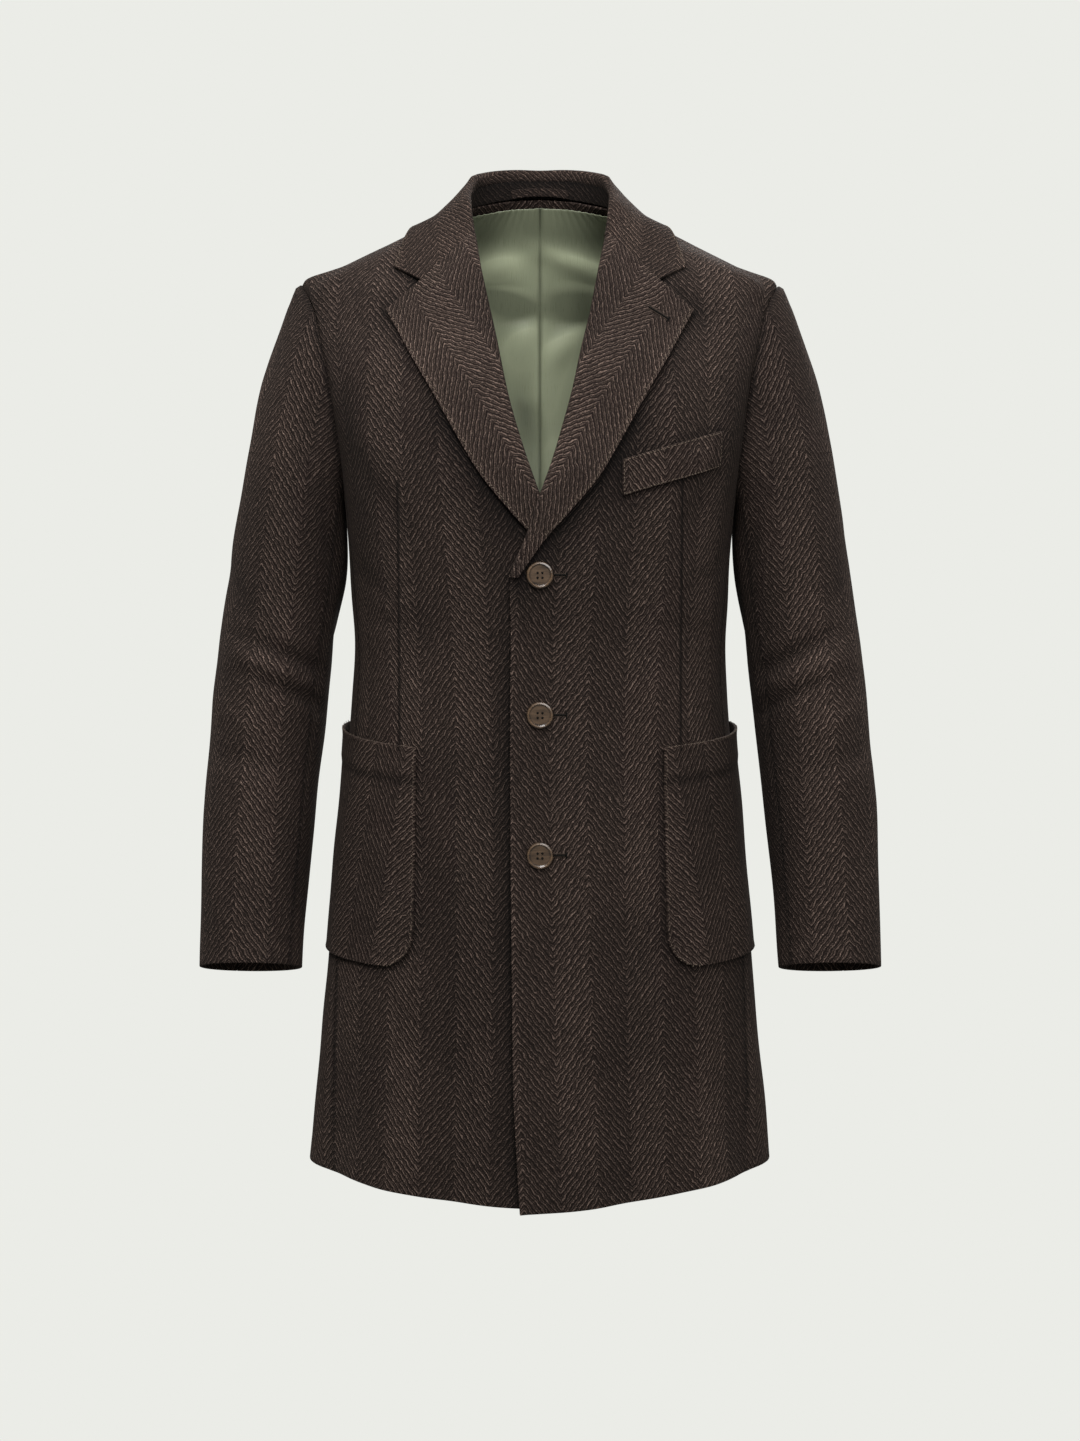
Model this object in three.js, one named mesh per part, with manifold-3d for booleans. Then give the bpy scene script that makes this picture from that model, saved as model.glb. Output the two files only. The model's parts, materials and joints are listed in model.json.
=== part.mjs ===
// A knee-length herringbone wool coat, filled out as when it is worn, with nobody inside it.
// Units are millimetres, +Z is up, +X is the wearer's left and the coat faces -Y.
// The origin is the point between the shoulders, level with the side neck points.
// Every cloth piece is a closed wall. Pieces that are sewn together stand SEAM_GAP apart.
import * as THREE from "three";
import { mergeVertices } from "three/addons/utils/BufferGeometryUtils.js";
import Module from "manifold-3d";

const WOOL = 2.5;
const SATIN = 1;
const SEAM_GAP = 0.3;
const EDGE_GAP = SEAM_GAP / 2;
const GORGE_GAP = 0.4;
const LAYER = 3.3; // from the middle of one wool wall to the middle of the wall lying on it

const HEM_Z = -922.5;
const FRONT_HEM_DROP = 11;
const OVER_CORNER_DROP = 4;
const FRONT_DROP_START_Z = -640;
const TIP_Z = -76;

// The body without sleeves: rounded rings, from the neck down to the hem.
const BODY = table(["z", "halfWidth", "front", "back", "roundness", "backRise"], [
  [0, 76, 30, 72, 2.2, 17],
  [-25, 127, 51, 89, 2.2, 13],
  [-45, 166, 66, 97, 2.25, 10],
  [-64.4, 206, 79, 104, 2.4, 7.5],
  [TIP_Z, 229.5, 86, 108, 2.6, 6],
  [-100, 224.5, 100, 116, 2.8, 4],
  [-130, 219.5, 113, 124, 3, 1],
  [-150, 213, 126, 127, 3, 0],
  [-200, 201.5, 143, 131, 3, 0],
  [-250, 192, 151, 130, 2.9, 0],
  [-293, 186, 152, 124, 2.7, 0],
  [-357, 182.3, 150, 115, 2.45, 0],
  [-430, 178.5, 144, 104, 2.3, 0],
  [-503, 183, 141, 110, 2.25, 0],
  [-600, 193.3, 140, 128, 2.2, 0],
  [-700, 203, 138, 136, 2.15, 0],
  [-800, 211, 137, 140, 2, 0],
  [HEM_Z, 220, 135, 146, 1.85, 0],
]);

// Where each front ends: round the neck, down the roll line, then down the front edge.
const NECKLINE = table(["z", "x"], [[0, 76], [-10, 75], [-22, 71], [-34, 64.8]]);
const ROLL_LINE = table(["z", "x"], [
  [-34, 64.8],
  [-62, 59.5],
  [-98, 51.5],
  [-134, 44],
  [-172, 35.3],
  [-212, 24.3],
  [-254, 11.4],
  [-290, -1],
  [-322, -12.8],
  [-352, -25.5],
]);
const OVER_EDGE = table(["z", "x"], [[-352, -25.5], [-500, -27], [-800, -24.5], [HEM_Z, -18]]);
const UNDER_EDGE = table(["z", "x"], [[-352, -25.5], [-500, -26], [HEM_Z, -26]]);

// How far the left front stands off the body where it crosses the right one and its lapel.
const OVERLAP = table(["z", "lift"], [
  [-200, 0],
  [-232, 2.4],
  [-262, 7.4],
  [-300, 7.6],
  [-352, 7.6],
  [-400, 4.2],
  [-600, 4.2],
  [HEM_Z, 6.5],
]);
const OVERLAP_FULL_X = 32;
const OVERLAP_NONE_X = 92;

// The armhole, an oval drawn on the side of the body.
const ARMHOLE = { middleZ: -184.5, halfHeight: 108.5, front: 66, back: 74, roundness: 2.2 };
const FRONT_SEAM_Y = -52;
const BACK_SEAM_Y = 60;
const ARMHOLE_ROWS = 8;
const SEAM_ROWS = 14;
const FRONT_COLUMNS = 10;
const SIDE_COLUMNS = 5;
const BACK_COLUMNS = 8;
const NECK_COLUMNS = 4;
const YOKE_SETTLE = 8;

// The sleeve: each ring runs from its outer point to its inner point and back.
// forward is the middle's place along -Y, and tilt lowers the back of the ring, in degrees.
const SLEEVE = table(
  ["outerX", "outerZ", "innerX", "innerZ", "forward", "depth", "tilt"],
  [
    [231.5, -75, 189.2, -293, -4, 70, 0],
    [241.5, -92, 190, -299, -4, 71, 0],
    [250, -115, 189.8, -306, -4, 72, 0],
    [259.5, -145, 189.4, -314, -4, 73, 0],
    [270.5, -185, 189, -325, -4, 74, 0],
    [282, -235, 189.2, -341, -5, 74, 1],
    [292.5, -295, 191.2, -364, -5, 73, 2],
    [302, -360, 197.6, -400, -3, 70, 4],
    [307, -396, 201.8, -426, 0, 68, 5],
    [310, -420, 204.2, -446, 3, 67, 6],
    [312, -442, 206.2, -464, 5, 66, 7],
    [314.5, -466, 208.4, -484, 7, 65, 8],
    [317.5, -500, 211, -510, 10, 63, 10],
    [322, -567, 217, -570, 20, 58, 13],
    [323.6, -635, 222.5, -635, 31, 53, 15],
    [323.9, -690, 227, -690, 41, 49, 16.5],
    [323.2, -729, 229, -729, 49, 47, 16.5],
  ],
);
const SLEEVE_BLEND_ROWS = 5;
const FOREARM_SEAM = 145;
const ELBOW_SEAM = -67;
const TOP_COLUMNS = 11;
const UNDER_COLUMNS = 8;
// The deepest creases at the bend of the arm: place round the sleeve, row, spread and depth.
const ELBOW_FOLDS = table(["round", "row", "slant", "wide", "high", "depth"], [
  [112, 9, 0.022, 42, 0.75, 5],
  [128, 11, 0.03, 34, 0.7, 3.6],
  [70, 10.4, -0.015, 40, 0.8, -2.4],
]);

const LAPEL_EDGE = table(["z", "x"], [
  [-352, -19.5],
  [-340, -12.5],
  [-322, 1],
  [-303, 16.5],
  [-280, 37.5],
  [-252, 58.5],
  [-222, 76.5],
  [-190, 94.5],
  [-150, 118.5],
  [-107, 142.5],
]);
const NOTCH = { x: 111, z: -79.5 };
const LAPEL_CROWN = 2;
const LAPEL_EASE = 0.92; // below 1, the lapel's edge climbs faster near the top button
const GORGE_TAKES_OVER_AT = 0.72; // from here up, the lapel's rows turn to follow the gorge
const EDGE_CLEAR = 0.7;
const FULL_LAPEL_WIDTH = 60;
const ROLL_RADIUS = table(["z", "radius"], [[-352, 1.65], [-262, 1.8], [-180, 2.4], [-34, 2.4]]);
const ROLL_STEPS = 4;
const ROLL_PROBE = 4;
const GORGE_STEPS = 3;
const POINT_STEPS = 2;
const NOTCH_SHARE = GORGE_STEPS / (GORGE_STEPS + POINT_STEPS);

// The collar, from the middle of the back (0) to the top of the roll line (1).
// turn is the way it faces round the neck and lean is how far the stand tips inwards, in degrees.
const COLLAR = table(
  ["at", "height", "turn", "lean", "radius", "edgeX", "edgeY", "edgeZ"],
  [
    [0, 31.5, 0, -12, 3.6, 0, 98, 4],
    [0.2, 32.5, 30, -4, 3.5, 62, 84, -2],
    [0.4, 32, 60, 10, 3.4, 103, 48, -12],
    [0.5, 26, 74, 20, 3.3, 113, 27, -16],
    [0.6, 17.8, 88, 31, 3.2, 118, 5, -20],
    [0.8, 10, 84, 58, 2.8, 128, -32, -38],
    [1, 3, 76, 88, 2.4, 137.5, -66, -65.5],
  ],
);
const NECK_POINT_AT = 0.6;
const COLLAR_STATIONS = 10;
const STAND_END_AT = 0.8;
const STAND_FOOT = 1.8;
const FALL_ABOVE_SEAM = 12;
const STAND_SHARE = 0.45;
const COLLAR_FOOT = 0.7;
const COLLAR_EASE = 0.6; // how much further the collar stands off the body than it needs
const GORGE_TURN_AT = 0.9;
const NECK_CLEARS_ABOVE = { z: 20, over: 60 };
const CLEAR_PASSES = 6;

const POCKET = {
  topZ: -511, topRise: 9, bottomZ: -716, frontX: 112.5, frontLean: 4.5, rearAngle: 9,
  cornerRadius: 32, cornerAngle: 15, hemHeight: 28, hemThickness: 1, mouthGape: 3.2,
  gapeFrom: 0.12, gapeTo: 0.95, columns: 10,
};
// Rows down the pocket, closer at the mouth's hem and round the lower corners
const POCKET_ROWS = [0, 0.07, 0.14, 0.34, 0.55, 0.72, 0.845, 0.905, 0.955, 0.988, 1];
const WELT = {
  leftX: 74.5, rightX: 166, topLeftZ: -245.5, topRightZ: -218.5, height: 33, thickness: 3,
  gap: 0.6, columns: 6, rows: 2,
};
const BUTTON = {
  radius: 12.5, thickness: 3.6, rim: 2, dish: 1, hole: 1.15, holeCircle: 3.1, holes: 4,
  topZ: -350, pitch: 128.5, count: 3, segments: 28, holeSegments: 8,
};
// The button's outline: how far in from its radius, and its height above the middle
const BUTTON_OUTLINE = [
  [BUTTON.radius, -BUTTON.thickness / 2],
  [2.2, -BUTTON.thickness / 2],
  [0.5, 0.8 - BUTTON.thickness / 2],
  [0, 0.2],
  [0.6, BUTTON.thickness / 2 - 0.4],
  [BUTTON.rim, BUTTON.thickness / 2],
  [BUTTON.rim + 1.4, BUTTON.thickness / 2 - BUTTON.dish],
  [BUTTON.radius, BUTTON.thickness / 2 - BUTTON.dish],
];
const LOOP = { endAt: 0.135, strip: 9, thickness: 1.6, rise: 6.3, slack: 3, clear: 0.9, stations: 5 };
const LINING = { rows: 12, firstColumn: 1, behind: 1.7, fromNeck: 0.13, fromTip: 0.7 };

const COLOURS = {
  wool: 0x3a302b, lapelWool: 0x4a3f39, underCollar: 0x241c19, satin: 0x6d705b, horn: 0x4a382b,
};

// Tables and curves through them
function table(columns, rows) {
  return rows.map((row) => Object.fromEntries(columns.map((name, k) => [name, row[k]])));
}

const lerp = THREE.MathUtils.lerp;
const radians = THREE.MathUtils.degToRad;
const clamp = THREE.MathUtils.clamp;
const smooth = (value, from, to) => THREE.MathUtils.smoothstep((value - from) / (to - from), 0, 1);
const signedPower = (value, power) => Math.sign(value) * Math.abs(value) ** power;
const steps = (count) => Array.from({ length: count + 1 }, (_, k) => k / count);

// A curve through one column of a table that never swings past the rows it passes.
function curveOf(rows, key, column) {
  const sorted = [...rows].sort((a, b) => a[key] - b[key]);
  const x = sorted.map((row) => row[key]);
  const y = sorted.map((row) => row[column]);
  const slope = x.slice(1).map((value, k) => (y[k + 1] - y[k]) / (value - x[k]));
  const tangent = x.map((_, k) => {
    if (k === 0) return slope[0];
    if (k === x.length - 1) return slope[k - 1];
    if (slope[k - 1] * slope[k] <= 0) return 0;
    return (2 * slope[k - 1] * slope[k]) / (slope[k - 1] + slope[k]);
  });
  return (at) => {
    const value = clamp(at, x[0], x[x.length - 1]);
    const k = Math.max(0, Math.min(x.length - 2, x.findIndex((knot) => knot >= value) - 1));
    const width = x[k + 1] - x[k];
    const t = (value - x[k]) / width;
    const bend = t * t * (3 - 2 * t);
    const start = t * (1 - t) ** 2 * width;
    const end = t * t * (t - 1) * width;
    return lerp(y[k], y[k + 1], bend) + start * tangent[k] + end * tangent[k + 1];
  };
}

function curvesOf(rows, key) {
  const names = Object.keys(rows[0]).filter((name) => name !== key);
  return Object.fromEntries(names.map((name) => [name, curveOf(rows, key, name)]));
}

const body = curvesOf(BODY, "z");
const neckX = curveOf(NECKLINE, "z", "x");
const rollX = curveOf(ROLL_LINE, "z", "x");
const overX = curveOf(OVER_EDGE, "z", "x");
const underX = curveOf(UNDER_EDGE, "z", "x");
const overlap = curveOf(OVERLAP, "z", "lift");
const lapelEdgeX = curveOf(LAPEL_EDGE, "z", "x");
const rollRadius = curveOf(ROLL_RADIUS, "z", "radius");
const collar = curvesOf(COLLAR, "at");
const NECK_Z = NECKLINE.map((row) => row.z);
const ROLL_Z = ROLL_LINE.map((row) => row.z);
const BREAK_Z = ROLL_Z[ROLL_Z.length - 1];
const GORGE_Z = ROLL_Z[0];

// The body's surface: angle -90 is the front middle, 0 the side and 90 the back middle.
function bodyPoint(angle, z) {
  const power = 2 / body.roundness(z);
  const across = Math.cos(radians(angle));
  const along = Math.sin(radians(angle));
  const depth = along < 0 ? body.front(z) : body.back(z);
  const rise = along < 0 ? -FRONT_HEM_DROP * smooth(z, FRONT_DROP_START_Z, HEM_Z) : body.backRise(z);
  return new THREE.Vector3(
    body.halfWidth(z) * signedPower(across, power),
    depth * signedPower(along, power),
    z + rise * (along < 0 ? Math.abs(along) ** 3 : along ** 2),
  );
}

const PROBE = { angle: 0.6, z: 1.5, round: 2, row: 0.2, at: 0.02, point: 0.5 };

function bodyNormal(angle, z) {
  const round = bodyPoint(angle + PROBE.angle, z).sub(bodyPoint(angle - PROBE.angle, z));
  const up = bodyPoint(angle, Math.min(0, z + PROBE.z)).sub(bodyPoint(angle, z - PROBE.z));
  return round.cross(up).normalize();
}

function angleOfX(x, z) {
  const share = clamp(Math.abs(x) / body.halfWidth(z), 0, 1);
  return -THREE.MathUtils.radToDeg(Math.acos(Math.sign(x) * share ** (body.roundness(z) / 2)));
}

function angleOfY(y, z) {
  const depth = y < 0 ? body.front(z) : body.back(z);
  const share = clamp(Math.abs(y) / depth, 0, 1);
  return Math.sign(y) * THREE.MathUtils.radToDeg(Math.asin(share ** (body.roundness(z) / 2)));
}

// A place on the body is an angle and a height. These are the places along its seams.
const placeOfX = (x, z) => ({ angle: angleOfX(x, z), z });
const placeOfY = (y, z) => ({ angle: angleOfY(y, z), z });

// Round is 0 at the top of the armhole, 90 at its front, 180 at its foot and -90 at its back.
function armholePlace(round) {
  const power = 2 / ARMHOLE.roundness;
  const forward = Math.sin(radians(round));
  const reach = forward > 0 ? -ARMHOLE.front : ARMHOLE.back;
  const y = reach * Math.abs(forward) ** power;
  const z = ARMHOLE.middleZ + ARMHOLE.halfHeight * signedPower(Math.cos(radians(round)), power);
  return placeOfY(y, z);
}

function armholeRoundOf(y) {
  const reach = y < 0 ? ARMHOLE.front : ARMHOLE.back;
  const turn = THREE.MathUtils.radToDeg(Math.asin((Math.abs(y) / reach) ** (ARMHOLE.roundness / 2)));
  return y < 0 ? 180 - turn : turn - 180;
}

const FRONT_CORNER = armholeRoundOf(FRONT_SEAM_Y);
const BACK_CORNER = armholeRoundOf(BACK_SEAM_Y);

function seamPlaces(y, corner) {
  const top = armholePlace(corner);
  return steps(SEAM_ROWS).map((t) => {
    const z = lerp(top.z, HEM_Z, t);
    return t === 0 ? top : placeOfY(y, z);
  });
}

const armholePlaces = (corner) => steps(ARMHOLE_ROWS).map((t) => armholePlace(corner * t));

// A grid of places between its first and last columns. The shape of its top row dies away
// downwards, the faster the larger settle is.
function fill(top, first, last, settle = 1) {
  const rows = first.length - 1;
  const columns = top.length - 1;
  return first.map((_, j) => top.map((place, i) => {
    const u = i / columns;
    const fade = (1 - j / rows) ** settle;
    const mix = (name) =>
      lerp(first[j][name], last[j][name], u)
      + fade * (place[name] - lerp(top[0][name], top[columns][name], u));
    return { angle: mix("angle"), z: mix("z") };
  }));
}

function linePlaces(from, to, count) {
  return steps(count).map((t) => ({ angle: lerp(from.angle, to.angle, t), z: lerp(from.z, to.z, t) }));
}

const TIP = { angle: 0, z: TIP_Z };
const NECK_POINT = { angle: 0, z: 0 };

function frontPlaces(edgeX, cornerDrop) {
  const side = [...armholePlaces(FRONT_CORNER), ...seamPlaces(FRONT_SEAM_Y, FRONT_CORNER).slice(1)];
  const edge = [
    NECK_POINT,
    ...NECK_Z.slice(2).map((z) => placeOfX(neckX(z), z)),
    ...ROLL_Z.slice(1).map((z) => placeOfX(rollX(z), z)),
  ];
  const left = side.length - edge.length;
  for (const t of steps(left).slice(1)) {
    const z = lerp(BREAK_Z, HEM_Z, t);
    edge.push(placeOfX(edgeX(z), z));
  }
  const top = linePlaces(TIP, NECK_POINT, FRONT_COLUMNS);
  const places = fill(top, side, edge);
  places[places.length - 1].forEach((place, i) => { place.z -= cornerDrop * (i / FRONT_COLUMNS) ** 5; });
  return places;
}

function sidePlaces() {
  const front = seamPlaces(FRONT_SEAM_Y, FRONT_CORNER);
  const back = seamPlaces(BACK_SEAM_Y, BACK_CORNER);
  const top = steps(SIDE_COLUMNS).map((t) => armholePlace(lerp(FRONT_CORNER, BACK_CORNER + 360, t)));
  return fill(top, front, back);
}

function backPlaces() {
  const side = [...armholePlaces(BACK_CORNER), ...seamPlaces(BACK_SEAM_Y, BACK_CORNER).slice(1)];
  const middle = side.map((_, j) => ({ angle: 90, z: (HEM_Z * j) / (side.length - 1) }));
  const shoulder = linePlaces(TIP, NECK_POINT, BACK_COLUMNS - NECK_COLUMNS);
  const neck = linePlaces(NECK_POINT, { angle: 90, z: 0 }, NECK_COLUMNS);
  return fill([...shoulder, ...neck.slice(1)], side, middle, YOKE_SETTLE);
}

// How far the left front is lifted by what lies under it.
const overlapLift = (x, z) => overlap(z) * (1 - smooth(x, OVERLAP_FULL_X, OVERLAP_NONE_X));
const noLift = () => 0;

// Grids of points with their outward directions, from places on the body
function onBody(places, height) {
  const points = [];
  const normals = [];
  for (const row of places) {
    const normalRow = row.map(({ angle, z }) => bodyNormal(angle, z));
    const pointRow = row.map(({ angle, z }, i) => {
      const point = bodyPoint(angle, z);
      return point.addScaledVector(normalRow[i], height(point.x, z, point));
    });
    points.push(pointRow);
    normals.push(normalRow);
  }
  return { points, normals };
}

// The lining follows the inside of the upper back, one column in from the armhole and just below the neck.
function liningGrid() {
  const grid = onBody(backPlaces().slice(0, LINING.rows), () => -(WOOL + SATIN) / 2 - LINING.behind);
  grid.points[0].forEach((point, i) => {
    const share = lerp(LINING.fromTip, LINING.fromNeck, smooth(i, 1, BACK_COLUMNS - NECK_COLUMNS));
    point.lerp(grid.points[1][i], share);
  });
  const kept = (rows) => rows.map((row) => row.slice(LINING.firstColumn));
  return { points: kept(grid.points), normals: kept(grid.normals) };
}

// Outward directions worked out from a grid's own points
function withNormals(points) {
  const lastRow = points.length - 1;
  const lastColumn = points[0].length - 1;
  const normals = points.map((row, j) => row.map((_, i) => {
    const across = points[j][Math.min(lastColumn, i + 1)].clone().sub(points[j][Math.max(0, i - 1)]);
    const up = points[Math.min(lastRow, j + 1)][i].clone().sub(points[Math.max(0, j - 1)][i]);
    return across.cross(up).normalize();
  }));
  return { points, normals };
}

// Edges of a grid, moved in along the cloth so that its neighbour stands clear
function drawnIn(grid, gaps) {
  const rows = grid.points.length - 1;
  const columns = grid.points[0].length - 1;
  const shifts = grid.points.map((row) => row.map(() => new THREE.Vector3()));
  const shift = (j, i, from, to, inner, amount) => {
    const inward = grid.normals[j][i].clone().cross(to.clone().sub(from)).normalize();
    if (inward.dot(inner.clone().sub(grid.points[j][i])) < 0) inward.negate();
    shifts[j][i].addScaledVector(inward, amount);
  };
  const at = (j, i) => grid.points[clamp(j, 0, rows)][clamp(i, 0, columns)];
  for (let j = 0; j <= rows; j += 1) {
    shift(j, 0, at(j - 1, 0), at(j + 1, 0), at(j, 1), gaps.first);
    shift(j, columns, at(j - 1, columns), at(j + 1, columns), at(j, columns - 1), gaps.last);
  }
  for (let i = 0; i <= columns; i += 1) {
    shift(0, i, at(0, i - 1), at(0, i + 1), at(1, i), gaps.top);
    shift(rows, i, at(rows, i - 1), at(rows, i + 1), at(rows - 1, i), gaps.bottom);
  }
  const points = grid.points.map((row, j) => row.map((point, i) => point.clone().add(shifts[j][i])));
  return { points, normals: grid.normals };
}

const EVEN_GAPS = { first: EDGE_GAP, last: EDGE_GAP, top: EDGE_GAP, bottom: EDGE_GAP };

// A closed wall from a grid. extra adds to its outer face at a share across and a share down.
function wallGeometry(grid, { thickness = WOOL, gaps = EVEN_GAPS, side = 1, extra = () => 0 } = {}) {
  const { points, normals } = drawnIn(grid, gaps);
  const rows = points.length;
  const columns = points[0].length;
  const positions = [];
  const skin = (direction) => points.forEach((row, j) => row.forEach((point, i) => {
    const more = direction > 0 ? extra(i / (columns - 1), j / (rows - 1)) : 0;
    const moved = point.clone().addScaledVector(normals[j][i], direction * (thickness / 2 + more));
    positions.push(moved.x * side, moved.y, moved.z);
  }));
  skin(1);
  skin(-1);
  const across = points[0][1].clone().sub(points[0][0]);
  const down = points[1][0].clone().sub(points[0][0]);
  const facesOut = across.cross(down).dot(normals[0][0]) * side > 0;
  const indices = [];
  const quad = (a, b, c, d) => indices.push(...(facesOut ? [a, b, c, a, c, d] : [a, c, b, a, d, c]));
  const outer = (j, i) => j * columns + i;
  const inner = (j, i) => rows * columns + j * columns + i;
  for (let j = 0; j < rows - 1; j += 1) {
    for (let i = 0; i < columns - 1; i += 1) {
      quad(outer(j, i), outer(j, i + 1), outer(j + 1, i + 1), outer(j + 1, i));
      quad(inner(j, i), inner(j + 1, i), inner(j + 1, i + 1), inner(j, i + 1));
    }
    quad(outer(j, 0), outer(j + 1, 0), inner(j + 1, 0), inner(j, 0));
    quad(outer(j + 1, columns - 1), outer(j, columns - 1), inner(j, columns - 1), inner(j + 1, columns - 1));
  }
  for (let i = 0; i < columns - 1; i += 1) {
    quad(outer(0, i + 1), outer(0, i), inner(0, i), inner(0, i + 1));
    quad(outer(rows - 1, i), outer(rows - 1, i + 1), inner(rows - 1, i + 1), inner(rows - 1, i));
  }
  const geometry = new THREE.BufferGeometry();
  geometry.setAttribute("position", new THREE.Float32BufferAttribute(positions, 3));
  geometry.setIndex(indices);
  geometry.computeVertexNormals();
  return geometry;
}

const material = (colour, roughness) =>
  new THREE.MeshStandardMaterial({ color: colour, roughness, metalness: 0 });
const MATERIALS = {
  wool: material(COLOURS.wool, 0.92),
  lapelWool: material(COLOURS.lapelWool, 0.92),
  underCollar: material(COLOURS.underCollar, 0.95),
  satin: material(COLOURS.satin, 0.38),
  horn: material(COLOURS.horn, 0.35),
};

const coat = new THREE.Group();
function add(name, geometry, finish) {
  const mesh = new THREE.Mesh(geometry, finish);
  mesh.name = name;
  coat.add(mesh);
  return mesh;
}

// The sleeve's surface. round goes as on the armhole and row counts down the table of rings.
SLEEVE.forEach((ring, k) => { ring.row = k; });
const sleeve = curvesOf(SLEEVE, "row");
const SLEEVE_ROWS = SLEEVE.length - 1;

function sleeveRing(round, row) {
  const outer = new THREE.Vector3(sleeve.outerX(row), -sleeve.forward(row), sleeve.outerZ(row));
  const inner = new THREE.Vector3(sleeve.innerX(row), -sleeve.forward(row), sleeve.innerZ(row));
  const half = outer.clone().sub(inner).multiplyScalar(0.5);
  const tilt = radians(sleeve.tilt(row));
  const forward = new THREE.Vector3(0, -Math.cos(tilt), Math.sin(tilt));
  return outer.add(inner).multiplyScalar(0.5)
    .addScaledVector(half, Math.cos(radians(round)))
    .addScaledVector(forward, sleeve.depth(row) * Math.sin(radians(round)));
}

function armholeRing(round) {
  const { angle, z } = armholePlace(round);
  return bodyPoint(angle, z).addScaledVector(bodyNormal(angle, z), WOOL + SEAM_GAP);
}

function elbowFold(round, row) {
  let depth = 0;
  for (const fold of ELBOW_FOLDS) {
    const away = ((round - fold.round + 540) % 360) - 180;
    const offRow = (row - fold.row - fold.slant * away) / fold.high;
    depth += fold.depth * Math.exp(-((away / fold.wide) ** 2) - offRow * offRow);
  }
  return depth;
}

function sleevePoint(round, row) {
  const point = sleeveRing(round, row);
  const fade = clamp(1 - row / SLEEVE_BLEND_ROWS, 0, 1) ** 2;
  if (fade > 0) point.addScaledVector(armholeRing(round).sub(sleeveRing(round, 0)), fade);
  return point;
}

function sleeveGrid(fromRound, toRound, columns) {
  const points = [];
  const normals = [];
  for (let row = 0; row <= SLEEVE_ROWS; row += 1) {
    const rounds = steps(columns).map((t) => lerp(fromRound, toRound, t));
    const normalRow = rounds.map((round) => {
      const across = sleevePoint(round + PROBE.round, row).sub(sleevePoint(round - PROBE.round, row));
      const low = Math.min(SLEEVE_ROWS, row + PROBE.row);
      const down = sleevePoint(round, low).sub(sleevePoint(round, Math.max(0, row - PROBE.row)));
      return down.cross(across).normalize();
    });
    normals.push(normalRow);
    points.push(rounds.map((round, i) =>
      sleevePoint(round, row).addScaledVector(normalRow[i], -elbowFold(round, row))));
  }
  return { points, normals };
}

// Rises from the roll line to 1 at the notch and falls to the point.
const peakAtNotch = (u) => (u < NOTCH_SHARE ? u / NOTCH_SHARE : (1 - u) / (1 - NOTCH_SHARE));

// A lapel: from the roll line it turns over towards the middle and lies back on its front.
function lapelGrid(lift) {
  const count = ROLL_Z.length - 1;
  const edgeZ = (t) => lerp(BREAK_Z, LAPEL_EDGE[LAPEL_EDGE.length - 1].z, t ** LAPEL_EASE);
  const points = ROLL_Z.map((z, j) => {
    const t = 1 - j / count;
    const place = placeOfX(rollX(z), z);
    const onRoll = onBody([[place]], lift).points[0][0];
    const outward = bodyNormal(place.angle, z);
    const above = onBody([[placeOfX(rollX(z + ROLL_PROBE), z + ROLL_PROBE)]], lift).points[0][0];
    const below = onBody([[placeOfX(rollX(z - ROLL_PROBE), z - ROLL_PROBE)]], lift).points[0][0];
    const inward = outward.clone().cross(above.sub(below)).normalize();
    if (inward.x > 0) inward.negate();
    const radius = rollRadius(z);
    const roll = steps(ROLL_STEPS).map((turn) => onRoll.clone()
      .addScaledVector(outward, radius * (1 - Math.cos(Math.PI * turn)))
      .addScaledVector(inward, radius * Math.sin(Math.PI * turn)));
    const edge = { x: lapelEdgeX(edgeZ(t)), z: edgeZ(t) };
    const flat = steps(GORGE_STEPS + POINT_STEPS).slice(1).map((u) => {
      const top = smooth(t, GORGE_TAKES_OVER_AT, 1) * peakAtNotch(u);
      const x = lerp(rollX(z), edge.x, u);
      const flatZ = lerp(z, edge.z, u);
      const notchX = lerp(rollX(GORGE_Z), edge.x, NOTCH_SHARE);
      const notchZ = lerp(GORGE_Z, edge.z, NOTCH_SHARE);
      const at = { x: x + (NOTCH.x - notchX) * top, z: flatZ + (NOTCH.z - notchZ) * top };
      const width = clamp((edge.x - rollX(z)) / FULL_LAPEL_WIDTH, 0, 1);
      const crown = LAPEL_CROWN * width * Math.sin(Math.PI * u);
      const height = lerp(2 * radius, LAYER + EDGE_CLEAR * width, smooth(u, 0, 0.5)) + crown;
      return onBody([[placeOfX(at.x, at.z)]], (px, pz) => height + lift(px, pz)).points[0][0];
    });
    return [...roll, ...flat];
  });
  return withNormals(points);
}

// Moves a point out until it stands clear of the body by a distance.
function clearOfBody(point, clearance) {
  const level = (p) => {
    const z = Math.min(0, p.y > 0 ? p.z - body.backRise(p.z) * clamp(p.y / body.back(p.z), 0, 1) ** 2 : p.z);
    const depth = p.y < 0 ? body.front(z) : body.back(z);
    const power = body.roundness(z);
    const above = Math.max(0, p.z - NECK_CLEARS_ABOVE.z) / NECK_CLEARS_ABOVE.over;
    const across = (Math.abs(p.x) / body.halfWidth(z)) ** power;
    return (across + (Math.abs(p.y) / depth) ** power) ** (1 / power) + above;
  };
  const moved = point.clone();
  for (let pass = 0; pass < CLEAR_PASSES; pass += 1) {
    const here = level(moved);
    const slope = new THREE.Vector3(
      level(moved.clone().setX(moved.x + PROBE.point)) - here,
      level(moved.clone().setY(moved.y + PROBE.point)) - here,
      level(moved.clone().setZ(moved.z + PROBE.point)) - here,
    ).divideScalar(PROBE.point);
    const distance = (here - 1) / slope.length();
    if (distance >= clearance) break;
    moved.addScaledVector(slope.normalize(), clearance - distance);
  }
  return moved;
}

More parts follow.
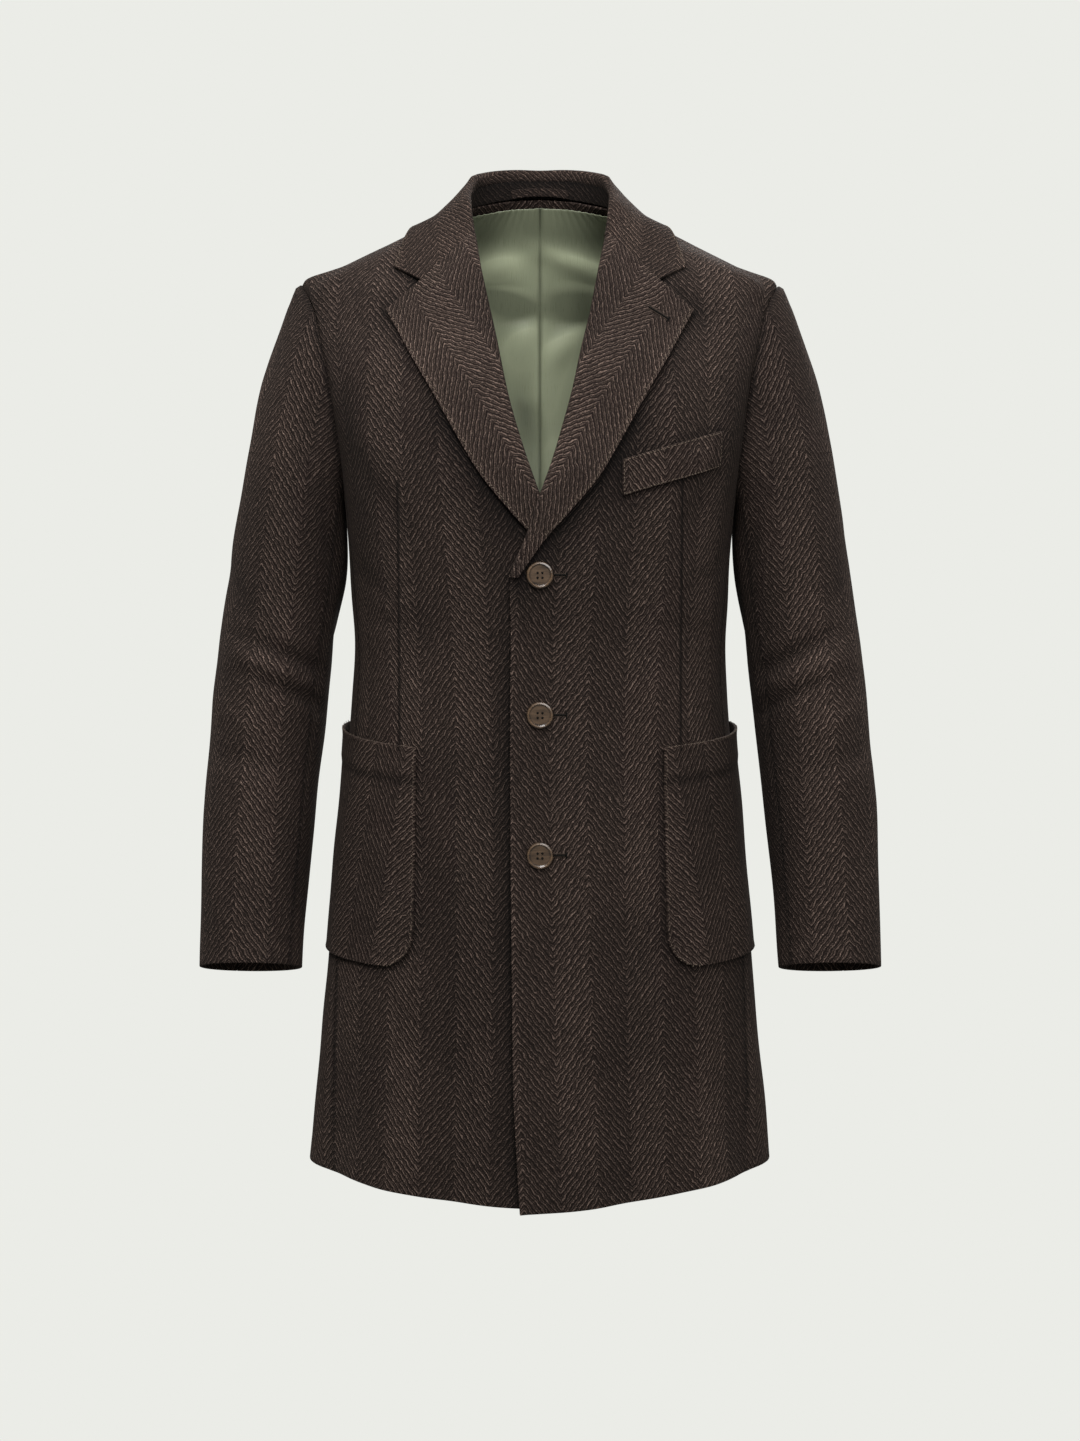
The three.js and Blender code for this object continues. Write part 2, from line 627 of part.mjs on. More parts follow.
// The neck seam and the frame of the collar that stands on it, from the back middle to one front
function neckSeam(at) {
  if (at <= NECK_POINT_AT) return bodyPoint(90 * (1 - at / NECK_POINT_AT), 0);
  const z = (GORGE_Z * (at - NECK_POINT_AT)) / (1 - NECK_POINT_AT);
  return bodyPoint(angleOfX(neckX(z), z), z);
}

function collarFrame(at) {
  const foot = neckSeam(at);
  const turn = radians(collar.turn(at));
  const lean = radians(collar.lean(at));
  const inward = new THREE.Vector3(-Math.sin(turn), -Math.cos(turn), 0);
  const up = inward.clone().multiplyScalar(Math.sin(lean)).setZ(Math.cos(lean));
  const along = neckSeam(Math.min(1, at + PROBE.at)).sub(neckSeam(Math.max(0, at - PROBE.at)));
  const outward = along.clone().cross(up).normalize();
  const facesIn = at < GORGE_TURN_AT ? outward.dot(inward) > 0 : outward.y > 0;
  if (facesIn) outward.negate();
  return { foot, up, outward };
}

// The top of a lapel, from the roll line to the notch, where the collar is sewn on
const GORGE = lapelGrid(noLift).points[0].slice(ROLL_STEPS + 1, ROLL_STEPS + 1 + GORGE_STEPS);

const standTop = (at) => Math.max(collar.height(at) - FALL_ABOVE_SEAM, STAND_SHARE * collar.height(at));

function collarSection(at) {
  const { foot, up, outward } = collarFrame(at);
  const radius = collar.radius(at);
  const height = Math.max(collar.height(at), radius + COLLAR_FOOT);
  const place = (rise, out) => foot.clone().addScaledVector(up, rise).addScaledVector(outward, out);
  const start = place(Math.min(standTop(at) + EDGE_GAP, height - radius - COLLAR_FOOT), 0);
  const roll = steps(ROLL_STEPS).map((turn) => place(
    height - radius + radius * Math.sin(Math.PI * turn),
    radius * (1 - Math.cos(Math.PI * turn)),
  ));
  const over = roll[ROLL_STEPS];
  const edge = new THREE.Vector3(collar.edgeX(at), collar.edgeY(at), collar.edgeZ(at));
  const corner = clearOfBody(edge, LAYER + COLLAR_EASE);
  const fall = steps(GORGE_STEPS + POINT_STEPS).slice(1).map((u, k) => {
    const pastNotch = Math.max(0, u - NOTCH_SHARE) / (1 - NOTCH_SHARE);
    const seam = GORGE[Math.min(k, GORGE_STEPS - 1)].clone().lerp(corner, pastNotch);
    const free = clearOfBody(over.clone().lerp(edge, u), LAYER + COLLAR_EASE);
    return clearOfBody(free.lerp(seam, smooth(at, STAND_END_AT, 1)), LAYER + COLLAR_EASE);
  });
  return [start, ...roll, ...fall];
}

function bothSides(half) {
  const mirrored = half.slice(1).reverse().map((row) => row.map((point) => point.clone().setX(-point.x)));
  return [...mirrored, ...half];
}

function collarGrid() {
  return withNormals(bothSides(steps(COLLAR_STATIONS).map(collarSection)));
}

function standGrid() {
  const half = steps(COLLAR_STATIONS - 2).map((t) => {
    const at = t * STAND_END_AT;
    const { foot, up } = collarFrame(at);
    return [STAND_FOOT, standTop(at)].map((rise) => foot.clone().addScaledVector(up, rise));
  });
  return withNormals(bothSides(half));
}

// The loop lies along the inside of the stand, sewn down at its ends and slack between them.
function loopGrid() {
  const standoff = (WOOL + LOOP.thickness) / 2 + LOOP.clear;
  const half = steps(LOOP.stations).map((t) => {
    const { foot, up, outward } = collarFrame(LOOP.endAt * t);
    const bow = LOOP.slack * Math.cos((Math.PI / 2) * t);
    return [-1, 1].map((end) => foot.clone()
      .addScaledVector(up, LOOP.rise + (end * LOOP.strip) / 2)
      .addScaledVector(outward, -standoff - bow));
  });
  return withNormals(bothSides(half));
}

function pocketGrid() {
  const columnShares = steps(POCKET.columns);
  const height = POCKET.topZ - POCKET.bottomZ;
  const places = POCKET_ROWS.map((down) => {
    const toBottom = (1 - down) * height;
    const short = Math.max(0, POCKET.cornerRadius - toBottom);
    const cut = POCKET.cornerRadius - Math.sqrt(POCKET.cornerRadius ** 2 - short ** 2);
    return columnShares.map((u) => {
      const z = lerp(POCKET.topZ + POCKET.topRise * u, POCKET.bottomZ, down);
      const start = angleOfX(POCKET.frontX + POCKET.frontLean * down + cut, z);
      const end = POCKET.rearAngle - (cut / POCKET.cornerRadius) * POCKET.cornerAngle;
      return { angle: lerp(start, end, u), z };
    });
  });
  const grid = onBody(places, noLift);
  grid.points.forEach((row, j) => row.forEach((point, i) => {
    const across = lerp(POCKET.gapeFrom, POCKET.gapeTo, columnShares[i]);
    const mouth = (1 - POCKET_ROWS[j]) ** 3 * Math.sin(Math.PI * across);
    point.addScaledVector(grid.normals[j][i], LAYER + POCKET.mouthGape * mouth);
  }));
  return grid;
}

// The mouth's hem is thicker, down to the row nearest its stitching. Rows come as even shares.
const HEM_ROWS = POCKET_ROWS.filter((down) => down * (POCKET.topZ - POCKET.bottomZ) <= POCKET.hemHeight + 1);
function pocketHem(_, rowShare) {
  return rowShare * (POCKET_ROWS.length - 1) < HEM_ROWS.length - 0.5 ? POCKET.hemThickness : 0;
}

function weltGrid() {
  const places = steps(WELT.rows).map((down) => steps(WELT.columns).map((u) => {
    const z = lerp(WELT.topLeftZ, WELT.topRightZ, u) - WELT.height * down;
    return placeOfX(lerp(WELT.leftX, WELT.rightX, u), z);
  }));
  return onBody(places, (x, z) => (WOOL + WELT.thickness) / 2 + WELT.gap + overlapLift(x, z));
}

const wasm = await Module();
wasm.setup();

// A closed geometry as a solid, and back
function solidOf(geometry) {
  const bare = geometry.clone().deleteAttribute("normal").deleteAttribute("uv");
  const merged = mergeVertices(bare, 1e-3);
  return new wasm.Manifold(new wasm.Mesh({
    numProp: 3,
    vertProperties: merged.attributes.position.array,
    triVerts: new Uint32Array(merged.index.array),
  }));
}

function geometryOf(solid) {
  const mesh = solid.getMesh();
  const geometry = new THREE.BufferGeometry();
  geometry.setAttribute("position", new THREE.BufferAttribute(mesh.vertProperties, 3));
  geometry.setIndex(new THREE.BufferAttribute(mesh.triVerts, 1));
  geometry.computeVertexNormals();
  return geometry;
}

// A dished button with a raised rim and four holes, its axis along Z
function buttonGeometry() {
  const { radius, thickness, hole, holeCircle, holes } = BUTTON;
  const profile = BUTTON_OUTLINE.map(([inset, height]) => new THREE.Vector2(radius - inset, height));
  const disc = new THREE.LatheGeometry(profile, BUTTON.segments).rotateX(Math.PI / 2);
  let solid = solidOf(disc);
  for (let k = 0; k < holes; k += 1) {
    const turn = ((k + 0.5) * 2 * Math.PI) / holes;
    const bore = new THREE.CylinderGeometry(hole, hole, thickness * 2, BUTTON.holeSegments);
    bore.rotateX(Math.PI / 2).translate(holeCircle * Math.cos(turn), holeCircle * Math.sin(turn), 0);
    solid = solid.subtract(solidOf(bore));
  }
  return geometryOf(solid);
}

// The body of the coat
const SIDES = table(["name", "side", "edgeX", "lift", "cornerDrop"], [
  ["left", 1, overX, overlapLift, OVER_CORNER_DROP],
  ["right", -1, underX, noLift, 0],
]);
for (const { name, side, edgeX, lift, cornerDrop } of SIDES) {
  const cloth = (grid, options = {}) => wallGeometry(grid, { side, ...options });
  add(`front_${name}`, cloth(onBody(frontPlaces(edgeX, cornerDrop), lift)), MATERIALS.wool);
  add(`side_${name}`, cloth(onBody(sidePlaces(), noLift)), MATERIALS.wool);
  add(`back_${name}`, cloth(onBody(backPlaces(), noLift)), MATERIALS.wool);
  add(
    `sleeve_top_${name}`,
    cloth(sleeveGrid(ELBOW_SEAM, FOREARM_SEAM, TOP_COLUMNS)),
    MATERIALS.wool,
  );
  add(
    `sleeve_under_${name}`,
    cloth(sleeveGrid(FOREARM_SEAM, ELBOW_SEAM + 360, UNDER_COLUMNS)),
    MATERIALS.wool,
  );
  add(
    `lapel_${name}`,
    cloth(lapelGrid(lift), { gaps: { ...EVEN_GAPS, first: GORGE_GAP, top: GORGE_GAP } }),
    MATERIALS.lapelWool,
  );
  add(`patch_pocket_${name}`, cloth(pocketGrid(), { extra: pocketHem }), MATERIALS.wool);
  add(`lining_back_${name}`, cloth(liningGrid(), { thickness: SATIN }), MATERIALS.satin);
}

// The collar, with the stand and the loop inside it
const collarGaps = { first: EDGE_GAP, last: EDGE_GAP, top: GORGE_GAP, bottom: GORGE_GAP };
add("collar", wallGeometry(collarGrid(), { gaps: collarGaps }), MATERIALS.lapelWool);
add("collar_stand", wallGeometry(standGrid()), MATERIALS.underCollar);
add("hanger_loop", wallGeometry(loopGrid(), { thickness: LOOP.thickness }), MATERIALS.underCollar);

// The welt of the breast pocket and the three buttons, on the left front
add("chest_welt", wallGeometry(weltGrid(), { thickness: WELT.thickness }), MATERIALS.wool);
const button = buttonGeometry();
for (let k = 0; k < BUTTON.count; k += 1) {
  const place = placeOfX(0, BUTTON.topZ - k * BUTTON.pitch);
  const off = WOOL / 2 + SEAM_GAP + BUTTON.thickness / 2;
  const { points, normals } = onBody([[place]], (x, z) => overlapLift(x, z) + off);
  const mesh = add(`button_${k + 1}`, button.clone(), MATERIALS.horn);
  mesh.position.copy(points[0][0]);
  mesh.quaternion.setFromUnitVectors(new THREE.Vector3(0, 0, 1), normals[0][0]);
}

export default coat;
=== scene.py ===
# A knee-length herringbone wool coat, filled out as when it is worn, with nobody inside it.
# Sizes are in millimetres until a piece is made, when M turns them into metres.
import json
import math
from functools import partial

import bmesh
import bpy
import numpy as np
from mathutils import Matrix, Vector

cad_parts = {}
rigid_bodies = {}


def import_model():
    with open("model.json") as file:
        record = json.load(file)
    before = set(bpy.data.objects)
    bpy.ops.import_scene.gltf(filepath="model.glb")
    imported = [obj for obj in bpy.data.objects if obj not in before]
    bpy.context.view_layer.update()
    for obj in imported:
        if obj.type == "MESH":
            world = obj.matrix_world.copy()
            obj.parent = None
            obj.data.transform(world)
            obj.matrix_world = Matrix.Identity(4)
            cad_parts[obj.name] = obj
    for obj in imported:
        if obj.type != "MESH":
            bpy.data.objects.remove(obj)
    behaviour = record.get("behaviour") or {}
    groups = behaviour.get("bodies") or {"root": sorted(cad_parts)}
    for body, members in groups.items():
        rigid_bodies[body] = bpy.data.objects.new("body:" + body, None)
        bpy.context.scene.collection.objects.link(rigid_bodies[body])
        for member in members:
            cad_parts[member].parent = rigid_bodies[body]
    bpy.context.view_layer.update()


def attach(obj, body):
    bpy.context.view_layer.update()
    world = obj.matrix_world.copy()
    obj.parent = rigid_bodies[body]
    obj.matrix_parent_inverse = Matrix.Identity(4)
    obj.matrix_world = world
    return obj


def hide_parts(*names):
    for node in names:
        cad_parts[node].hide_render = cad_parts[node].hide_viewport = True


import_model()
M = 0.001

# ---------------------------------------------------------------- sizes
WOOL = 2.5
SATIN = 1.0
LAYER = 3.3
HEM_Z = -922.5
TIP_Z = -76
FRONT_HEM_DROP = 11
FRONT_DROP_START_Z = -640
OVER_CORNER_DROP = 4


def table(columns, rows):
    return [dict(zip(columns, row)) for row in rows]


# The body without sleeves: rounded rings, from the neck down to the hem.
BODY = table(("z", "half_width", "front", "back", "roundness", "back_rise"), [
    (0, 76, 30, 72, 2.2, 17),
    (-25, 127, 51, 89, 2.2, 13),
    (-45, 166, 66, 97, 2.25, 10),
    (-64.4, 206, 79, 104, 2.4, 7.5),
    (TIP_Z, 229.5, 86, 108, 2.6, 6),
    (-100, 224.5, 100, 116, 2.8, 4),
    (-130, 219.5, 113, 124, 3, 1),
    (-150, 213, 126, 127, 3, 0),
    (-200, 201.5, 143, 131, 3, 0),
    (-250, 192, 151, 130, 2.9, 0),
    (-293, 186, 152, 124, 2.7, 0),
    (-357, 182.3, 150, 115, 2.45, 0),
    (-430, 178.5, 144, 104, 2.3, 0),
    (-503, 183, 141, 110, 2.25, 0),
    (-600, 193.3, 140, 128, 2.2, 0),
    (-700, 203, 138, 136, 2.15, 0),
    (-800, 211, 137, 140, 2, 0),
    (HEM_Z, 220, 135, 146, 1.85, 0),
])
NECKLINE = table(("z", "x"), [(0, 76), (-10, 75), (-22, 71), (-34, 64.8)])
ROLL_LINE = table(("z", "x"), [
    (-34, 64.8), (-62, 59.5), (-98, 51.5), (-134, 44), (-172, 35.3),
    (-212, 24.3), (-254, 11.4), (-290, -1), (-322, -12.8), (-352, -25.5),
])
OVER_EDGE = table(("z", "x"), [(-352, -25.5), (-500, -27), (-800, -24.5), (HEM_Z, -18)])
UNDER_EDGE = table(("z", "x"), [(-352, -25.5), (-500, -26), (HEM_Z, -26)])
OVERLAP = table(("z", "lift"), [
    (-200, 0), (-232, 2.4), (-262, 7.4), (-300, 7.6), (-352, 7.6), (-400, 4.2), (-600, 4.2),
    (HEM_Z, 6.5),
])
OVERLAP_FULL_X = 32
OVERLAP_NONE_X = 92

ARMHOLE = {"middle_z": -184.5, "half_height": 108.5, "front": 66, "back": 74, "roundness": 2.2}
FRONT_SEAM_Y = -52
BACK_SEAM_Y = 60
ARMHOLE_ROWS = 8
SEAM_ROWS = 14
FRONT_COLUMNS = 10
SIDE_COLUMNS = 5
BACK_COLUMNS = 8
NECK_COLUMNS = 4
YOKE_SETTLE = 8

# The sleeve: each ring runs from its outer point to its inner point and back.
SLEEVE = table(("outer_x", "outer_z", "inner_x", "inner_z", "forward", "depth", "tilt"), [
    (231.5, -75, 189.2, -293, -4, 70, 0),
    (241.5, -92, 190, -299, -4, 71, 0),
    (250, -115, 189.8, -306, -4, 72, 0),
    (259.5, -145, 189.4, -314, -4, 73, 0),
    (270.5, -185, 189, -325, -4, 74, 0),
    (282, -235, 189.2, -341, -5, 74, 1),
    (292.5, -295, 191.2, -364, -5, 73, 2),
    (302, -360, 197.6, -400, -3, 70, 4),
    (307, -396, 201.8, -426, 0, 68, 5),
    (310, -420, 204.2, -446, 3, 67, 6),
    (312, -442, 206.2, -464, 5, 66, 7),
    (314.5, -466, 208.4, -484, 7, 65, 8),
    (317.5, -500, 211, -510, 10, 63, 10),
    (322, -567, 217, -570, 20, 58, 13),
    (323.6, -635, 222.5, -635, 31, 53, 15),
    (323.9, -690, 227, -690, 41, 49, 16.5),
    (323.2, -729, 229, -729, 49, 47, 16.5),
])
for number, ring in enumerate(SLEEVE):
    ring["row"] = number
SLEEVE_ROWS = len(SLEEVE) - 1
SLEEVE_BLEND_ROWS = 5
FOREARM_SEAM = 145
ELBOW_SEAM = -67
TOP_COLUMNS = 11
UNDER_COLUMNS = 8

LAPEL_EDGE = table(("z", "x"), [
    (-352, -19.5), (-340, -12.5), (-322, 1), (-303, 16.5), (-280, 37.5), (-252, 58.5),
    (-222, 76.5), (-190, 94.5), (-150, 118.5), (-107, 142.5),
])
NOTCH_X, NOTCH_Z = 111, -79.5
LAPEL_CROWN = 2
LAPEL_EASE = 0.92
GORGE_TAKES_OVER_AT = 0.72
EDGE_CLEAR = 0.7
FULL_LAPEL_WIDTH = 60
ROLL_RADIUS = table(("z", "radius"), [(-352, 1.65), (-262, 1.8), (-180, 2.4), (-34, 2.4)])
ROLL_STEPS = 4
GORGE_STEPS = 3
POINT_STEPS = 2
NOTCH_SHARE = GORGE_STEPS / (GORGE_STEPS + POINT_STEPS)

COLLAR = table(("at", "height", "turn", "lean", "radius", "edge_x", "edge_y", "edge_z"), [
    (0, 31.5, 0, -12, 3.6, 0, 98, 4),
    (0.2, 32.5, 30, -4, 3.5, 62, 84, -2),
    (0.4, 32, 60, 10, 3.4, 103, 48, -12),
    (0.5, 26, 74, 20, 3.3, 113, 27, -16),
    (0.6, 17.8, 88, 31, 3.2, 118, 5, -20),
    (0.8, 10, 84, 58, 2.8, 128, -32, -38),
    (1, 3, 76, 88, 2.4, 137.5, -66, -65.5),
])
NECK_POINT_AT = 0.6
COLLAR_STATIONS = 10
STAND_END_AT = 0.8
STAND_FOOT = 1.8
FALL_ABOVE_SEAM = 12
STAND_SHARE = 0.45
COLLAR_FOOT = 0.7
COLLAR_EASE = 0.6
GORGE_TURN_AT = 0.9

POCKET = {
    "top_z": -511, "top_rise": 9, "bottom_z": -716, "front_x": 112.5, "front_lean": 4.5,
    "rear_angle": 9, "corner_radius": 32, "corner_angle": 15, "hem": 28, "gape": 3.2,
}
POCKET_ROWS = (0, 0.07, 0.14, 0.34, 0.55, 0.72, 0.845, 0.905, 0.955, 0.988, 1)
POCKET_COLUMNS = 10
POCKET_GAPE_SPAN = (0.12, 0.95)
WELT = {
    "left_x": 74.5, "right_x": 166, "top_left_z": -245.5, "top_right_z": -218.5, "height": 33,
    "thickness": 3, "gap": 0.6,
}
WELT_COLUMNS, WELT_ROWS = 6, 2
BUTTON = {"thickness": 3.6, "top_z": -350, "pitch": 128.5, "count": 3}
LOOP = {"end_at": 0.135, "strip": 9, "thickness": 1.6, "rise": 6.3, "slack": 3, "clear": 0.9}
LOOP_STATIONS = 5
LINING = {"rows": 12, "behind": 1.7, "from_neck": 0.13, "from_tip": 0.7}


# ---------------------------------------------------------------- curves and places
def lerp(a, b, t):
    return a + (b - a) * t


def smooth(value, start, end):
    t = np.clip((value - start) / (end - start), 0, 1)
    return t * t * (3 - 2 * t)


def signed_power(value, power):
    return math.copysign(abs(value) ** power, value)


def steps(count):
    return [k / count for k in range(count + 1)]


def unit(vector):
    return vector / np.linalg.norm(vector)


def curve_of(rows, key, column):
    """A curve through a table's column that never swings past the rows it passes."""
    rows = sorted(rows, key=lambda row: row[key])
    x = np.array([row[key] for row in rows], float)
    y = np.array([row[column] for row in rows], float)
    slope = np.diff(y) / np.diff(x)
    tangent = np.zeros(len(x))
    tangent[0], tangent[-1] = slope[0], slope[-1]
    for k in range(1, len(x) - 1):
        if slope[k - 1] * slope[k] > 0:
            tangent[k] = 2 * slope[k - 1] * slope[k] / (slope[k - 1] + slope[k])

    def value_at(at):
        at = min(max(at, x[0]), x[-1])
        k = min(max(int(np.searchsorted(x, at)) - 1, 0), len(x) - 2)
        width = x[k + 1] - x[k]
        t = (at - x[k]) / width
        ends = t * (1 - t) ** 2 * tangent[k] + t * t * (t - 1) * tangent[k + 1]
        return lerp(y[k], y[k + 1], t * t * (3 - 2 * t)) + width * ends

    return value_at


def curves_of(rows, key):
    return {name: curve_of(rows, key, name) for name in rows[0] if name != key}


body = curves_of(BODY, "z")
sleeve = curves_of(SLEEVE, "row")
collar = curves_of(COLLAR, "at")
neck_x = curve_of(NECKLINE, "z", "x")
roll_x = curve_of(ROLL_LINE, "z", "x")
over_x = curve_of(OVER_EDGE, "z", "x")
under_x = curve_of(UNDER_EDGE, "z", "x")
overlap = curve_of(OVERLAP, "z", "lift")
lapel_edge_x = curve_of(LAPEL_EDGE, "z", "x")
roll_radius = curve_of(ROLL_RADIUS, "z", "radius")
NECK_ZS = [row["z"] for row in NECKLINE]
ROLL_ZS = [row["z"] for row in ROLL_LINE]
GORGE_Z, BREAK_Z = ROLL_ZS[0], ROLL_ZS[-1]


def body_point(angle, z):
    power = 2 / body["roundness"](z)
    across, along = math.cos(math.radians(angle)), math.sin(math.radians(angle))
    depth = body["front"](z) if along < 0 else body["back"](z)
    if along < 0:
        rise = -FRONT_HEM_DROP * smooth(z, FRONT_DROP_START_Z, HEM_Z) * abs(along) ** 3
    else:
        rise = body["back_rise"](z) * along**2
    x = body["half_width"](z) * signed_power(across, power)
    return np.array([x, depth * signed_power(along, power), z + rise])


def body_normal(angle, z):
    around = body_point(angle + 0.6, z) - body_point(angle - 0.6, z)
    up = body_point(angle, min(0, z + 1.5)) - body_point(angle, z - 1.5)
    return unit(np.cross(around, up))


def place_of_x(x, z):
    share = min(abs(x) / body["half_width"](z), 1)
    return -math.degrees(math.acos(math.copysign(share ** (body["roundness"](z) / 2), x))), z


def place_of_y(y, z):
    share = min(abs(y) / (body["front"](z) if y < 0 else body["back"](z)), 1)
    turn = math.asin(share ** (body["roundness"](z) / 2))
    return math.copysign(math.degrees(turn), y), z


def armhole_place(around):
    power = 2 / ARMHOLE["roundness"]
    forward = math.sin(math.radians(around))
    reach = -ARMHOLE["front"] if forward > 0 else ARMHOLE["back"]
    z = ARMHOLE["middle_z"] + ARMHOLE["half_height"] * signed_power(
        math.cos(math.radians(around)), power
    )
    return place_of_y(reach * abs(forward) ** power, z)


def armhole_round_of(y):
    reach = ARMHOLE["front"] if y < 0 else ARMHOLE["back"]
    turn = math.degrees(math.asin((abs(y) / reach) ** (ARMHOLE["roundness"] / 2)))
    return 180 - turn if y < 0 else turn - 180


FRONT_CORNER = armhole_round_of(FRONT_SEAM_Y)
BACK_CORNER = armhole_round_of(BACK_SEAM_Y)
TIP, NECK_POINT, BACK_NECK = (0, TIP_Z), (0, 0), (90, 0)


def seam_places(y, corner):
    top = armhole_place(corner)
    return [top] + [place_of_y(y, lerp(top[1], HEM_Z, t)) for t in steps(SEAM_ROWS)[1:]]


def armhole_places(corner):
    return [armhole_place(corner * t) for t in steps(ARMHOLE_ROWS)]


def line_places(start, end, count):
    return [(lerp(start[0], end[0], t), lerp(start[1], end[1], t)) for t in steps(count)]


def fill(top, first, last, settle=1):
    """A grid of places between two columns; the top row's shape dies away downwards."""
    rows, columns = len(first) - 1, len(top) - 1
    grid = []
    for j, (start, end) in enumerate(zip(first, last)):
        fade = (1 - j / rows) ** settle
        grid.append([
            tuple(
                lerp(start[k], end[k], i / columns)
                + fade * (top[i][k] - lerp(top[0][k], top[-1][k], i / columns))
                for k in (0, 1)
            )
            for i in range(columns + 1)
        ])
    return grid


def front_places(edge_x, corner_drop):
    side = armhole_places(FRONT_CORNER) + seam_places(FRONT_SEAM_Y, FRONT_CORNER)[1:]
    edge = [NECK_POINT] + [place_of_x(neck_x(z), z) for z in NECK_ZS[2:]]
    edge += [place_of_x(roll_x(z), z) for z in ROLL_ZS[1:]]
    for t in steps(len(side) - len(edge))[1:]:
        z = lerp(BREAK_Z, HEM_Z, t)
        edge.append(place_of_x(edge_x(z), z))
    places = fill(line_places(TIP, NECK_POINT, FRONT_COLUMNS), side, edge)
    places[-1] = [
        (angle, z - corner_drop * (i / FRONT_COLUMNS) ** 5)
        for i, (angle, z) in enumerate(places[-1])
    ]
    return places


def side_places():
    foot = [
        armhole_place(lerp(FRONT_CORNER, BACK_CORNER + 360, t)) for t in steps(SIDE_COLUMNS)
    ]
    front = seam_places(FRONT_SEAM_Y, FRONT_CORNER)
    return fill(foot, front, seam_places(BACK_SEAM_Y, BACK_CORNER))


def back_places():
    side = armhole_places(BACK_CORNER) + seam_places(BACK_SEAM_Y, BACK_CORNER)[1:]
    middle = [(90, HEM_Z * j / (len(side) - 1)) for j in range(len(side))]
    shoulder = line_places(TIP, NECK_POINT, BACK_COLUMNS - NECK_COLUMNS)
    neck = line_places(NECK_POINT, BACK_NECK, NECK_COLUMNS)
    return fill(shoulder + neck[1:], side, middle, YOKE_SETTLE)


def overlap_lift(x, z):
    return overlap(z) * (1 - smooth(x, OVERLAP_FULL_X, OVERLAP_NONE_X))


def no_lift(x, z):
    return 0


def on_body(places, height):
    grid = []
    for row in places:
        points = [body_point(angle, z) for angle, z in row]
        grid.append([
            point + body_normal(angle, z) * height(point[0], z)
            for point, (angle, z) in zip(points, row)
        ])
    return np.array(grid)


def at_x(x, z, height):
    return on_body([[place_of_x(x, z)]], height)[0, 0]


def lining_points():
    behind = -(WOOL + SATIN) / 2 - LINING["behind"]
    grid = on_body(back_places()[: LINING["rows"]], lambda x, z: behind)
    for i in range(BACK_COLUMNS + 1):
        share = lerp(
            LINING["from_tip"], LINING["from_neck"], smooth(i, 1, BACK_COLUMNS - NECK_COLUMNS)
        )
        grid[0, i] = lerp(grid[0, i], grid[1, i], share)
    return grid[:, 1:]


# ---------------------------------------------------------------- sleeves
def sleeve_ring(around, row):
    at = {name: curve(row) for name, curve in sleeve.items()}
    outer = np.array([at["outer_x"], -at["forward"], at["outer_z"]])
    inner = np.array([at["inner_x"], -at["forward"], at["inner_z"]])
    tilt = math.radians(at["tilt"])
    forward = np.array([0, -math.cos(tilt), math.sin(tilt)])
    turn = math.radians(around)
    return (
        (outer + inner) / 2
        + (outer - inner) / 2 * math.cos(turn)
        + forward * at["depth"] * math.sin(turn)
    )


def sleeve_point(around, row):
    point = sleeve_ring(around, row)
    fade = max(1 - row / SLEEVE_BLEND_ROWS, 0) ** 2
    if fade > 0:
        angle, z = armhole_place(around)
        seam = body_point(angle, z) + body_normal(angle, z) * (WOOL + 0.3)
        point = point + fade * (seam - sleeve_ring(around, 0))
    return point


def sleeve_points(start, end, columns):
    return np.array([
        [sleeve_point(lerp(start, end, t), row) for t in steps(columns)]
        for row in range(SLEEVE_ROWS + 1)
    ])


# ---------------------------------------------------------------- lapels and collar
def peak_at_notch(u):
    return u / NOTCH_SHARE if u < NOTCH_SHARE else (1 - u) / (1 - NOTCH_SHARE)


def lapel_points(lift):
    grid = []
    for j, z in enumerate(ROLL_ZS):
        t = 1 - j / (len(ROLL_ZS) - 1)
        on_roll = at_x(roll_x(z), z, lift)
        outward = body_normal(*place_of_x(roll_x(z), z))
        along = at_x(roll_x(z + 4), z + 4, lift) - at_x(roll_x(z - 4), z - 4, lift)
        inward = unit(np.cross(outward, along))
        inward = -inward if inward[0] > 0 else inward
        radius = roll_radius(z)
        row = [
            on_roll
            + outward * radius * (1 - math.cos(math.pi * turn))
            + inward * radius * math.sin(math.pi * turn)
            for turn in steps(ROLL_STEPS)
        ]
        edge_z = lerp(BREAK_Z, LAPEL_EDGE[-1]["z"], t**LAPEL_EASE)
        edge_x = lapel_edge_x(edge_z)
        width = min(max((edge_x - roll_x(z)) / FULL_LAPEL_WIDTH, 0), 1)
        for u in steps(GORGE_STEPS + POINT_STEPS)[1:]:
            top = smooth(t, GORGE_TAKES_OVER_AT, 1) * peak_at_notch(u)
            notch_x = lerp(roll_x(GORGE_Z), edge_x, NOTCH_SHARE)
            notch_z = lerp(GORGE_Z, edge_z, NOTCH_SHARE)
            x = lerp(roll_x(z), edge_x, u) + (NOTCH_X - notch_x) * top
            flat_z = lerp(z, edge_z, u) + (NOTCH_Z - notch_z) * top
            height = lerp(2 * radius, LAYER + EDGE_CLEAR * width, smooth(u, 0, 0.5))
            height += LAPEL_CROWN * width * math.sin(math.pi * u)
            row.append(at_x(x, flat_z, lambda px, pz: height + lift(px, pz)))
        grid.append(row)
    return np.array(grid)


